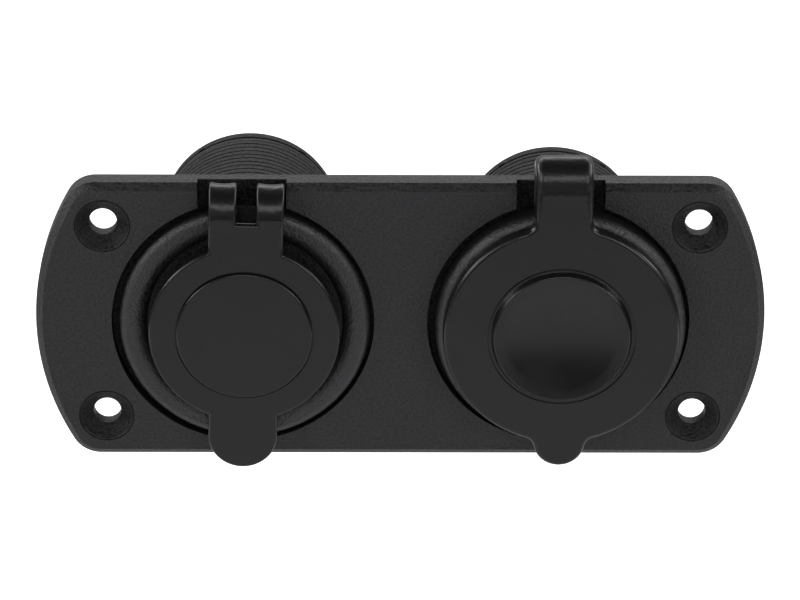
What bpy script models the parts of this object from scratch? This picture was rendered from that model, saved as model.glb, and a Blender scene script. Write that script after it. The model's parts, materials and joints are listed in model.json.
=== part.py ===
"""Vehicle socket panel: a USB charger socket and a 12 V accessory socket in one faceplate.

Lengths are in metres. The faceplate stands upright and faces -Y, with +Z up and +X to the right
as seen from the front. The origin is the centre of the faceplate's flat back.
Every socket is modelled about its own barrel axis and is then placed on the faceplate by an empty.
"""
import math

import bmesh
import bpy
from mathutils import Matrix, Vector

# Clearances between neighbouring pieces, and how far a cutting shape reaches past what it cuts
FLAT_GAP = 0.0002
ROUND_GAP = 0.0003
OVERSHOOT = 0.0010

# Faceplate
SOCKET_PITCH = 0.0488
PLATE_END_REACH = 0.03205
PLATE_HEIGHT = 0.0460
PLATE_THICKNESS = 0.0042
PLATE_END_RADIUS = 0.0416
PLATE_CORNER_RADIUS = 0.0048
PLATE_CHAMFER = 0.00105
POCKET_RADIUS = 0.0203
POCKET_DEPTH = 0.0024
NOTCH_WIDTH = 0.0136
SCREW_INSET_X = 0.01065
SCREW_INSET_Z = 0.0069
SCREW_HOLE_RADIUS = 0.00215
SCREW_HEAD_RADIUS = 0.0041

# Both sockets sit a little off the middle of their pockets, and the left one is turned a little
SOCKET_PLAY = 0.0003
USB_TURN_DEG = 1.3

# Parts that the two sockets have alike
THREAD_RADIUS = 0.0143
THREAD_DEPTH = 0.00065
BEZEL_RADIUS = 0.01935
COLLAR_THICKNESS = 0.0009
COLLAR_RADIUS = 0.0176
NUT_RADIUS = 0.0170
NUT_LENGTH = 0.0070
NUT_FLANGE_RADIUS = 0.0189
NUT_FLANGE_THICKNESS = 0.0014
NUT_RIB_COUNT = 10
NUT_RIB_HEIGHT = 0.0011
NUT_RIB_WIDTH = 0.0030
NUT_RECESS_DEPTH = 0.0005
REAR_RIM_THICKNESS = 0.0020
REAR_RIM_CHAMFER = 0.0004
REAR_SKIRT_WALL = 0.0013
BLADE_WIDTH = 0.0063
BLADE_THICKNESS = 0.0008
BLADE_REACH = 0.0080
BLADE_TIP_CHAMFER = 0.0014
BLADE_HOLE_RADIUS = 0.0009

# USB socket housing
USB_CREST_HEIGHT = 0.0012
USB_OUTER_ROUND = 0.00125
USB_CREST_INNER_RADIUS = 0.0170
USB_INNER_ROUND = 0.0007
USB_DISH_RADIUS = 0.0146
USB_DISH_DEPTH = 0.0008
USB_BORE_RADIUS = 0.0124
USB_RECESS_DEPTH = 0.0082
USB_FACE_THICKNESS = 0.0020
USB_MOUTH_CHAMFER = 0.0003
USB_BARREL_LENGTH = 0.0386
USB_SKIRT_LENGTH = 0.0030

# USB dust cap
USB_CAP_RADIUS = 0.01475
USB_CAP_FRONT = 0.00485
USB_CAP_THICKNESS = 0.0013
USB_CAP_PAD_RADIUS = 0.01055
USB_CAP_PAD_HEIGHT = 0.0005
USB_CAP_EDGE = 0.0003
USB_TAB_WIDTH = 0.0107
USB_TAB_REACH = 0.0227
USB_STRAP_WIDTH = 0.00425
USB_STRAP_SLOT = 0.0030
USB_STRAP_EDGE = 0.00045
USB_SLOT_BOTTOM = 0.0176
USB_STRAP_TOP = 0.0236
USB_STRAP_BEND = 0.0040
USB_PLUG_REACH = 0.0031
USB_PLUG_WALL = 0.0014
USB_PLUG_CLEARANCE = 0.0004

# USB ports and electronics
PORT_WIDTH = 0.0131
PORT_HEIGHT = 0.0057
PORT_LENGTH = 0.0140
PORT_WALL = 0.00035
PORT_SETBACK = 0.0003
TONGUE_WIDTH = 0.0111
TONGUE_THICKNESS = 0.0019
TONGUE_LENGTH = 0.0090
BOARD_WIDTH = 0.0200
BOARD_THICKNESS = 0.0016
BOARD_REAR_MARGIN = 0.0030
CAPACITOR_RADIUS = 0.00315
CAPACITOR_HEIGHT = 0.0077
CAPACITOR_SPACING = 0.0084
INDUCTOR_SIZE = 0.0070
INDUCTOR_HEIGHT = 0.0045
CHIP_LENGTH = 0.0060
CHIP_WIDTH = 0.0050
CHIP_HEIGHT = 0.0016
LIGHT_RADIUS = 0.0012
LIGHT_OFFSET = 0.0088
LIGHT_HEIGHT = 0.0026
USB_BLADE_SPACING = 0.0100
USB_BLADE_OVERLAP = 0.0020

# 12 V socket housing and its metal well
POWER_CREST_HEIGHT = 0.0027
POWER_OUTER_ROUND = 0.0011
POWER_BARREL_LENGTH = 0.0330
POWER_SKIRT_LENGTH = 0.0017
POWER_REAR_ROOM = 0.0050
WELL_RADIUS = 0.0105
WELL_WALL = 0.0005
WELL_LIP_RADIUS = 0.0123
WELL_SEAT_DEPTH = 0.0009
WELL_TAB_WIDTH = 0.0050
WELL_TAB_LENGTH = 0.0120
WELL_TAB_SLIT = 0.0008
WASHER_RADIUS = 0.0070
WASHER_THICKNESS = 0.0010
WASHER_NECK_RADIUS = 0.0042
CONTACT_HEAD_RADIUS = 0.0032
CONTACT_HEAD_HEIGHT = 0.0014
CONTACT_SHANK_RADIUS = 0.0016
CONTACT_TAIL_RADIUS = 0.0028
CONTACT_TAIL_HEIGHT = 0.0006
POWER_PLUS_OFFSET = 0.0052
POWER_MINUS_OFFSET = 0.0080
POWER_MINUS_FOOT = 0.0026

# 12 V dust cap
POWER_CAP_RADIUS = 0.0179
POWER_CAP_FRONT = 0.0052
POWER_CAP_EDGE = 0.00045
POWER_BUTTON_RADIUS = 0.01055
POWER_BUTTON_HEIGHT = 0.0009
POWER_BUTTON_FILLET = 0.0008
POWER_BUTTON_DISH = 0.0006
POWER_NECK_WIDTH = 0.0088
POWER_LIP_RADIUS = 0.0040
POWER_LIP_REACH = 0.02225
POWER_CAP_BLEND = 0.0019
POWER_STRAP_TOP = 0.02835
POWER_STRAP_BEND = 0.0040
POWER_STRAP_EDGE = 0.0008
POWER_PLUG_REACH = 0.0034
POWER_PLUG_WALL = 0.0014
POWER_PLUG_CLEARANCE = 0.0004

# Fineness of the round shapes
LARGE_SEGMENTS = 56
MEDIUM_SEGMENTS = 40
SMALL_SEGMENTS = 20

# The plate's length and the depths along Y that follow, measured from the faceplate's back
PLATE_LENGTH = SOCKET_PITCH + 2 * PLATE_END_REACH
PLATE_FRONT = -PLATE_THICKNESS
POCKET_FLOOR = PLATE_FRONT + POCKET_DEPTH
COLLAR_BACK = POCKET_FLOOR - FLAT_GAP
COLLAR_FRONT = COLLAR_BACK - COLLAR_THICKNESS
FLANGE_BACK = COLLAR_FRONT - FLAT_GAP
BARREL_RADIUS = THREAD_RADIUS - THREAD_DEPTH
WELL_LIP_BACK = PLATE_FRONT - POWER_CREST_HEIGHT + WELL_SEAT_DEPTH - FLAT_GAP
WELL_LIP_FRONT = WELL_LIP_BACK - WELL_WALL
WELL_FLOOR = POWER_BARREL_LENGTH - REAR_RIM_THICKNESS - POWER_REAR_ROOM

# Materials: colour, roughness, metallic
BLACK_PLASTIC = ("black_plastic", (0.022, 0.022, 0.023), 0.55, 0.0)
BEZEL_PLASTIC = ("bezel_plastic", (0.020, 0.020, 0.021), 0.45, 0.0)
BLACK_RUBBER = ("black_rubber", (0.024, 0.024, 0.025), 0.50, 0.0)
WHITE_PLASTIC = ("white_plastic", (0.75, 0.75, 0.72), 0.50, 0.0)
CLEAR_PLASTIC = ("clear_plastic", (0.70, 0.80, 0.90), 0.15, 0.0)
BOARD_GREEN = ("board_green", (0.020, 0.160, 0.060), 0.45, 0.0)
FERRITE = ("ferrite", (0.060, 0.060, 0.062), 0.70, 0.0)
CAN_ALUMINIUM = ("can_aluminium", (0.75, 0.75, 0.77), 0.35, 1.0)
NICKEL_STEEL = ("nickel_steel", (0.62, 0.60, 0.57), 0.28, 1.0)
BRASS = ("brass", (0.75, 0.56, 0.27), 0.32, 1.0)
PHENOLIC = ("phenolic", (0.32, 0.15, 0.07), 0.60, 0.0)


def clear_scene():
    for old in list(bpy.data.objects):
        bpy.data.objects.remove(old, do_unlink=True)


def material_for(look):
    name, colour, roughness, metallic = look
    found = bpy.data.materials.get(name)
    if found is not None:
        return found
    material = bpy.data.materials.new(name)
    material.use_nodes = True
    shader = material.node_tree.nodes["Principled BSDF"]
    shader.inputs["Base Color"].default_value = (*colour, 1.0)
    shader.inputs["Roughness"].default_value = roughness
    shader.inputs["Metallic"].default_value = metallic
    return material


def make_object(name, bm):
    """Turn a bmesh into a linked object with its faces pointing outwards."""
    bmesh.ops.recalc_face_normals(bm, faces=bm.faces)
    mesh = bpy.data.meshes.new(name)
    bm.to_mesh(mesh)
    bm.free()
    made = bpy.data.objects.new(name, mesh)
    bpy.context.scene.collection.objects.link(made)
    return made


def apply_modifiers(target):
    """Keep the shape that the object's modifiers give, and remove them."""
    bpy.context.view_layer.update()
    evaluated = target.evaluated_get(bpy.context.evaluated_depsgraph_get())
    shaped = bpy.data.meshes.new_from_object(evaluated)
    target.modifiers.clear()
    target.data = shaped


def combine(target, tool, operation):
    """Apply a Boolean of tool on target, and remove the tool."""
    modifier = target.modifiers.new("shape", "BOOLEAN")
    modifier.object = tool
    modifier.operation = operation
    modifier.solver = "EXACT"
    apply_modifiers(target)
    bpy.data.objects.remove(tool, do_unlink=True)


def cut(target, tool):
    combine(target, tool, "DIFFERENCE")


def join(target, tool):
    combine(target, tool, "UNION")


def finish(made, look, parent=None, origin=(0.0, 0.0, 0.0)):
    """Give a piece its material and smooth shading, and hang it on its parent at its own origin."""
    mesh = made.data
    mesh.materials.clear()
    mesh.materials.append(material_for(look))
    mesh.transform(Matrix.Translation(-Vector(origin)))
    mesh.shade_smooth()
    mesh.set_sharp_from_angle(angle=math.radians(35))
    made.location = origin
    if parent is not None:
        made.parent = parent
    return made


def arc(centre, radius, start_deg, end_deg, steps):
    """Points on an arc, both ends included; angles run from the first axis to the second."""
    points = []
    for step in range(steps + 1):
        angle = math.radians(start_deg + (end_deg - start_deg) * step / steps)
        points.append((centre[0] + radius * math.cos(angle), centre[1] + radius * math.sin(angle)))
    return points


def lathe(name, profile, segments=LARGE_SEGMENTS, closed=False):
    """Spin a (radius, depth) profile about the Y axis. An open profile starts and ends on the axis."""
    bm = bmesh.new()
    verts = [bm.verts.new((radius, depth, 0.0)) for radius, depth in profile]
    pairs = list(zip(verts, verts[1:]))
    if closed:
        pairs.append((verts[-1], verts[0]))
    edges = [bm.edges.new(pair) for pair in pairs]
    bmesh.ops.spin(
        bm, geom=verts + edges, cent=(0, 0, 0), axis=(0, 1, 0), dvec=(0, 0, 0),
        angle=math.tau, steps=segments, use_merge=True, use_duplicate=False,
    )
    bmesh.ops.remove_doubles(bm, verts=bm.verts, dist=1e-6)
    return make_object(name, bm)


def prism(name, outline, start, end):
    """Extrude an (x, z) outline along Y from start to end."""
    bm = bmesh.new()
    face = bm.faces.new([bm.verts.new((x, start, z)) for x, z in outline])
    grown = bmesh.ops.extrude_face_region(bm, geom=[face])
    moved = [item for item in grown["geom"] if isinstance(item, bmesh.types.BMVert)]
    bmesh.ops.translate(bm, verts=moved, vec=(0, end - start, 0))
    return make_object(name, bm)


def box(name, low, high):
    bm = bmesh.new()
    bmesh.ops.create_cube(bm, size=1.0)
    for vert in bm.verts:
        vert.co = [low[axis] if vert.co[axis] < 0 else high[axis] for axis in range(3)]
    return make_object(name, bm)


def disc(name, radius, start, end, centre=(0.0, 0.0), segments=SMALL_SEGMENTS):
    """A plain cylinder along Y."""
    outline = [
        (centre[0] + radius * math.cos(math.tau * step / segments),
         centre[1] + radius * math.sin(math.tau * step / segments))
        for step in range(segments)
    ]
    return prism(name, outline, start, end)


def plate_outline(inset):
    """Outline of the faceplate: straight top and bottom, bowed ends, rounded corners."""
    end_centre = PLATE_LENGTH / 2 - PLATE_END_RADIUS
    bow = PLATE_END_RADIUS - inset
    corner = PLATE_CORNER_RADIUS - inset
    corner_z = PLATE_HEIGHT / 2 - PLATE_CORNER_RADIUS
    corner_x = end_centre + math.sqrt((PLATE_END_RADIUS - PLATE_CORNER_RADIUS) ** 2 - corner_z ** 2)
    lean = math.degrees(math.atan2(corner_z, corner_x - end_centre))
    right = arc((end_centre, 0.0), bow, -lean, lean, 16)
    top_right = arc((corner_x, corner_z), corner, lean, 90.0, 6)[1:]
    quarter = [(-x, z) for x, z in reversed(top_right)]
    left = [(-x, z) for x, z in reversed(right)]
    lower_left = [(x, -z) for x, z in reversed(quarter)]
    lower_right = [(x, -z) for x, z in reversed(top_right)]
    return right + top_right + quarter + left + lower_left + lower_right


def build_faceplate():
    bm = bmesh.new()
    loops = []
    levels = ((0.0, 0.0), (PLATE_FRONT + PLATE_CHAMFER, 0.0), (PLATE_FRONT, PLATE_CHAMFER))
    for depth, inset in levels:
        loops.append([bm.verts.new((x, depth, z)) for x, z in plate_outline(inset)])
    bm.faces.new(loops[0])
    bm.faces.new(loops[-1])
    for near, far in zip(loops, loops[1:]):
        for index in range(len(near)):
            after = (index + 1) % len(near)
            bm.faces.new((near[index], near[after], far[after], far[index]))
    plate = make_object("faceplate", bm)

    beyond = PLATE_FRONT - OVERSHOOT
    nut_recess = NUT_FLANGE_RADIUS + SOCKET_PLAY + ROUND_GAP
    for side in (-1, 1):
        centre = (side * SOCKET_PITCH / 2, 0.0)
        pocket = disc("pocket", POCKET_RADIUS, beyond, POCKET_FLOOR, centre, LARGE_SEGMENTS)
        low = (centre[0] - NOTCH_WIDTH / 2, beyond, 0.0)
        high = (centre[0] + NOTCH_WIDTH / 2, POCKET_FLOOR, PLATE_HEIGHT)
        join(pocket, box("notch", low, high))
        cut(plate, pocket)
        cut(plate, disc("nut_recess", nut_recess, -NUT_RECESS_DEPTH, OVERSHOOT, centre, MEDIUM_SEGMENTS))
        cut(plate, disc("barrel_hole", THREAD_RADIUS + ROUND_GAP, beyond, OVERSHOOT, centre, MEDIUM_SEGMENTS))

    cone_depth = SCREW_HEAD_RADIUS - SCREW_HOLE_RADIUS
    profile = [
        (0.0, PLATE_FRONT - OVERSHOOT),
        (SCREW_HEAD_RADIUS + OVERSHOOT, PLATE_FRONT - OVERSHOOT),
        (SCREW_HOLE_RADIUS, PLATE_FRONT + cone_depth),
        (SCREW_HOLE_RADIUS, OVERSHOOT),
        (0.0, OVERSHOOT),
    ]
    screw_x = PLATE_LENGTH / 2 - SCREW_INSET_X
    screw_z = PLATE_HEIGHT / 2 - SCREW_INSET_Z
    for side in (-1, 1):
        for level in (-1, 1):
            screw = lathe("screw_hole", profile, SMALL_SEGMENTS)
            screw.data.transform(Matrix.Translation((side * screw_x, 0.0, level * screw_z)))
            cut(plate, screw)
    return finish(plate, BLACK_PLASTIC)


def make_seat(name, side, turn_deg):
    """The empty that places one socket in its pocket."""
    seat = bpy.data.objects.new(name, None)
    bpy.context.scene.collection.objects.link(seat)
    seat.location = (side * SOCKET_PITCH / 2 + SOCKET_PLAY, 0.0, 0.0)
    seat.rotation_euler = (0.0, math.radians(turn_deg), 0.0)
    return seat


def build_ring_nut(name, seat):
    """Flanged nut with grip ribs, screwed on the barrel against its recess in the faceplate's back."""
    bore = BARREL_RADIUS + ROUND_GAP
    start = FLAT_GAP - NUT_RECESS_DEPTH
    end = start + NUT_LENGTH
    profile = [
        (bore, start),
        (NUT_FLANGE_RADIUS, start),
        (NUT_FLANGE_RADIUS, start + NUT_FLANGE_THICKNESS),
        (NUT_RADIUS, start + NUT_FLANGE_THICKNESS),
        (NUT_RADIUS, end),
        (bore, end),
    ]
    nut = lathe(name, profile, MEDIUM_SEGMENTS, closed=True)
    middle = (NUT_RADIUS + bore) / 2
    sunk = NUT_FLANGE_THICKNESS / 2
    for index in range(NUT_RIB_COUNT):
        low = (middle, start + sunk, -NUT_RIB_WIDTH / 2)
        high = (NUT_RADIUS + NUT_RIB_HEIGHT, end - sunk, NUT_RIB_WIDTH / 2)
        rib = box("grip_rib", low, high)
        rib.data.transform(Matrix.Rotation(math.tau * index / NUT_RIB_COUNT, 4, "Y"))
        join(nut, rib)
    return finish(nut, BLACK_PLASTIC, seat)


def build_rear_cap(name, seat, barrel_length, bore_radius, skirt_length, slot_centres):
    """Cover on the barrel's far end: a rim as wide as the thread, a skirt, and a slot for each blade."""
    rim_start = barrel_length - REAR_RIM_THICKNESS
    skirt = bore_radius - ROUND_GAP
    profile = [
        (0.0, rim_start),
        (skirt - REAR_SKIRT_WALL, rim_start),
        (skirt - REAR_SKIRT_WALL, rim_start - skirt_length),
        (skirt, rim_start - skirt_length),
        (skirt, rim_start),
        (THREAD_RADIUS, rim_start),
        (THREAD_RADIUS, barrel_length - REAR_RIM_CHAMFER),
        (THREAD_RADIUS - REAR_RIM_CHAMFER, barrel_length),
        (0.0, barrel_length),
    ]
    cap = lathe(name, profile, MEDIUM_SEGMENTS)
    for centre in slot_centres:
        half_width = BLADE_WIDTH / 2 + ROUND_GAP
        half_depth = BLADE_THICKNESS / 2 + ROUND_GAP
        low = (centre - half_depth, rim_start - OVERSHOOT, -half_width)
        high = (centre + half_depth, barrel_length + OVERSHOOT, half_width)
        cut(cap, box("blade_slot", low, high))
    return finish(cap, BLACK_PLASTIC, seat)


def blade(name, centre, start, tip):
    """A flat push-on blade in the YZ plane with a chamfered tip and a latch hole."""
    half = BLADE_WIDTH / 2
    corner = BLADE_TIP_CHAMFER
    outline = [(start, -half), (tip - corner, -half), (tip, -half + corner),
               (tip, half - corner), (tip - corner, half), (start, half)]
    bm = bmesh.new()
    left = centre - BLADE_THICKNESS / 2
    face = bm.faces.new([bm.verts.new((left, depth, z)) for depth, z in outline])
    grown = bmesh.ops.extrude_face_region(bm, geom=[face])
    moved = [item for item in grown["geom"] if isinstance(item, bmesh.types.BMVert)]
    bmesh.ops.translate(bm, verts=moved, vec=(BLADE_THICKNESS, 0, 0))
    made = make_object(name, bm)
    hole = disc("latch_hole", BLADE_HOLE_RADIUS, -half, half, segments=10)
    hole.data.transform(Matrix.Rotation(math.radians(90), 4, "Z"))
    hole.data.transform(Matrix.Translation((centre, tip - BLADE_REACH / 2, 0.0)))
    cut(made, hole)
    return made


def slab_bent_back(name, outline, front, thickness, bend_start, bend_radius, edge, strap_edge):
    """A flat rubber sheet whose top is bent back over a quarter circle.

    The outline is drawn flat in (x, z). What lies above bend_start is wrapped round the bend.
    The front rim is rounded by edge, and by strap_edge on the bent strap, whose end stays square.
    """
    arc_length = math.pi / 2 * bend_radius
    bend_steps = 6
    bm = bmesh.new()
    bm.faces.new([bm.verts.new((x, 0.0, z)) for x, z in outline])
    for step in range(bend_steps):
        bmesh.ops.bisect_plane(
            bm, geom=bm.verts[:] + bm.edges[:] + bm.faces[:],
            plane_co=(0, 0, bend_start + arc_length * step / bend_steps), plane_no=(0, 0, 1),
        )
    strap_end = max(z for x, z in outline)
    weight = bm.edges.layers.float.new("bevel_weight_edge")
    for item in bm.edges:
        levels = [vert.co.z for vert in item.verts]
        if item.is_boundary and min(levels) < strap_end - 1e-6:
            on_strap = min(levels) > bend_start - 1e-6
            item[weight] = 1.0 if on_strap else edge / strap_edge
    grown = bmesh.ops.extrude_face_region(bm, geom=bm.faces[:])
    back_verts = {item for item in grown["geom"] if isinstance(item, bmesh.types.BMVert)}
    for item in bm.edges:
        if any(vert in back_verts for vert in item.verts):
            item[weight] = 0.0
    for vert in bm.verts:
        depth = thickness if vert in back_verts else 0.0
        turn = max(0.0, vert.co.z - bend_start) / bend_radius
        reach = bend_radius - depth
        vert.co.y = front + bend_radius - reach * math.cos(turn)
        vert.co.z = min(vert.co.z, bend_start) + reach * math.sin(turn)
    slab = make_object(name, bm)
    bevel = slab.modifiers.new("rim", "BEVEL")
    bevel.limit_method = "WEIGHT"
    bevel.width = strap_edge
    bevel.segments = 2
    apply_modifiers(slab)
    return slab


def strap_leg(name, left, right, bend_axis, top, cut_thickness, edge):
    """The fixed end of a strap: over the back of the bend and down on to the pocket floor."""
    outer_reach = COLLAR_BACK - bend_axis
    inner_reach = COLLAR_FRONT - bend_axis
    centre_z = top - outer_reach
    steps = 6
    start_turn = math.asin(FLAT_GAP / outer_reach)
    outer = []
    inner = []
    for step in range(steps + 1):
        turn = start_turn + (math.pi / 2 - start_turn) * step / steps
        outer.append((bend_axis + outer_reach * math.sin(turn), centre_z + outer_reach * math.cos(turn)))
        inner.append((bend_axis + inner_reach * math.sin(turn),
                      centre_z + (outer_reach - cut_thickness) * math.cos(turn)))
    trim = COLLAR_THICKNESS / 18
    foot = (BARREL_RADIUS + COLLAR_RADIUS) / 2
    section = outer + [(COLLAR_BACK - trim, foot), (COLLAR_FRONT + trim, foot)] + inner[::-1]
    bm = bmesh.new()
    face = bm.faces.new([bm.verts.new((left, depth, z)) for depth, z in section])
    grown = bmesh.ops.extrude_face_region(bm, geom=[face])
    moved = [item for item in grown["geom"] if isinstance(item, bmesh.types.BMVert)]
    bmesh.ops.translate(bm, verts=moved, vec=(right - left, 0, 0))
    outside = {(round(depth, 7), round(z, 7)) for depth, z in outer}
    rim = []
    for item in bm.edges:
        ends = [(round(vert.co.y, 7), round(vert.co.z, 7)) for vert in item.verts]
        if ends[0] != ends[1] and all(end in outside for end in ends):
            rim.append(item)
    bmesh.ops.bevel(bm, geom=rim, offset=edge, offset_type="OFFSET", segments=2, profile=0.5,
                    affect="EDGES")
    return make_object(name, bm)


def build_collar(name, seat, strap_spans, bend_axis, top, cut_thickness, edge):
    """Rubber ring clamped under the bezel, with the fixed ends of its straps."""
    profile = [
        (BARREL_RADIUS + ROUND_GAP, COLLAR_BACK),
        (COLLAR_RADIUS, COLLAR_BACK),
        (COLLAR_RADIUS, COLLAR_FRONT),
        (BARREL_RADIUS + ROUND_GAP, COLLAR_FRONT),
    ]
    collar = lathe(name, profile, MEDIUM_SEGMENTS, closed=True)
    for left, right in strap_spans:
        join(collar, strap_leg("leg", left, right, bend_axis, top, cut_thickness, edge))
    return finish(collar, BLACK_RUBBER, seat)


def plug_ring(name, radius, wall, taper, start, end):
    """Hollow round plug on the back of a cap, a little narrower at its tip."""
    profile = [
        (radius - wall, start),
        (radius, start),
        (radius, (start + end) / 2),
        (radius - taper, end),
        (radius - wall, end),
    ]
    return lathe(name, profile, MEDIUM_SEGMENTS, closed=True)


def build_usb_housing(seat):
    crest = PLATE_FRONT - USB_CREST_HEIGHT
    dish = crest + USB_DISH_DEPTH
    face_front = PLATE_FRONT + USB_RECESS_DEPTH
    face_back = face_front + USB_FACE_THICKNESS
    barrel_end = USB_BARREL_LENGTH - REAR_RIM_THICKNESS - FLAT_GAP
    profile = [
        (0.0, face_front),
        (USB_BORE_RADIUS, face_front),
        (USB_BORE_RADIUS, dish + USB_MOUTH_CHAMFER),
        (USB_BORE_RADIUS + USB_MOUTH_CHAMFER, dish),
        (USB_DISH_RADIUS, dish),
        (USB_DISH_RADIUS, dish - USB_DISH_DEPTH / 3),
    ]
    inner_centre = (USB_CREST_INNER_RADIUS, crest + USB_INNER_ROUND)
    profile += arc(inner_centre, USB_INNER_ROUND, 225, 270, 2)
    outer_centre = (BEZEL_RADIUS - USB_OUTER_ROUND, crest + USB_OUTER_ROUND)
    profile += arc(outer_centre, USB_OUTER_ROUND, 270, 360, 4)
    profile += [
        (BEZEL_RADIUS, FLANGE_BACK),
        (BARREL_RADIUS, FLANGE_BACK),
        (BARREL_RADIUS, barrel_end),
        (USB_BORE_RADIUS, barrel_end),
        (USB_BORE_RADIUS, face_back),
        (0.0, face_back),
    ]
    housing = lathe("usb_housing", profile)
    for side in (-1, 1):
        middle = side * port_height_centre()
        half_width = PORT_WIDTH / 2 + ROUND_GAP
        half_height = PORT_HEIGHT / 2 + ROUND_GAP
        low = (-half_width, face_front - OVERSHOOT, middle - half_height)
        high = (half_width, face_back + OVERSHOOT, middle + half_height)
        cut(housing, box("port_opening", low, high))
    hole = disc("light_hole", LIGHT_RADIUS + ROUND_GAP, face_front - OVERSHOOT, face_back + OVERSHOOT,
                (LIGHT_OFFSET, light_centre_z()), 12)
    cut(housing, hole)
    return finish(housing, BEZEL_PLASTIC, seat)


def port_height_centre():
    """Each port lies flat on its own side of the board."""
    return BOARD_THICKNESS / 2 + FLAT_GAP + PORT_HEIGHT / 2


def light_centre_z():
    return BOARD_THICKNESS / 2 + FLAT_GAP + LIGHT_HEIGHT / 2


def build_port(level, seat):
    """One port: a folded steel shell and, inside it, the plastic tongue on its block."""
    side = 1 if level == "upper" else -1
    middle = side * port_height_centre()
    start = PLATE_FRONT + USB_RECESS_DEPTH + PORT_SETBACK
    end = start + PORT_LENGTH
    half_width = PORT_WIDTH / 2
    half_height = PORT_HEIGHT / 2
    shell = box("usb_port_shell_" + level, (-half_width, start, middle - half_height),
                (half_width, end, middle + half_height))
    inner_width = half_width - PORT_WALL
    inner_height = half_height - PORT_WALL
    cut(shell, box("port_hollow", (-inner_width, start - OVERSHOOT, middle - inner_height),
                   (inner_width, end - PORT_WALL, middle + inner_height)))
    spring_width = PORT_WIDTH / 8
    for spring in (-1, 1):
        centre = spring * PORT_WIDTH / 4
        window_start = start + PORT_LENGTH / 5
        low = (centre - spring_width / 2, window_start, middle - PORT_HEIGHT)
        high = (centre + spring_width / 2, window_start + PORT_LENGTH / 3, middle + PORT_HEIGHT)
        cut(shell, box("spring_window", low, high))
    finish(shell, NICKEL_STEEL, seat)

    block_width = inner_width - ROUND_GAP
    block_height = inner_height - ROUND_GAP
    tongue_end = end - PORT_WALL - FLAT_GAP
    tongue_start = start + PORT_WALL * 3
    tongue = box("usb_port_tongue_" + level, (-block_width, tongue_start + TONGUE_LENGTH, middle - block_height),
                 (block_width, tongue_end, middle + block_height))
    tongue_high = middle + block_height - TONGUE_THICKNESS / 4
    join(tongue, box("tongue", (-TONGUE_WIDTH / 2, tongue_start, tongue_high - TONGUE_THICKNESS),
                     (TONGUE_WIDTH / 2, tongue_end - PORT_WALL, tongue_high)))
    finish(tongue, WHITE_PLASTIC, seat)


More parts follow.
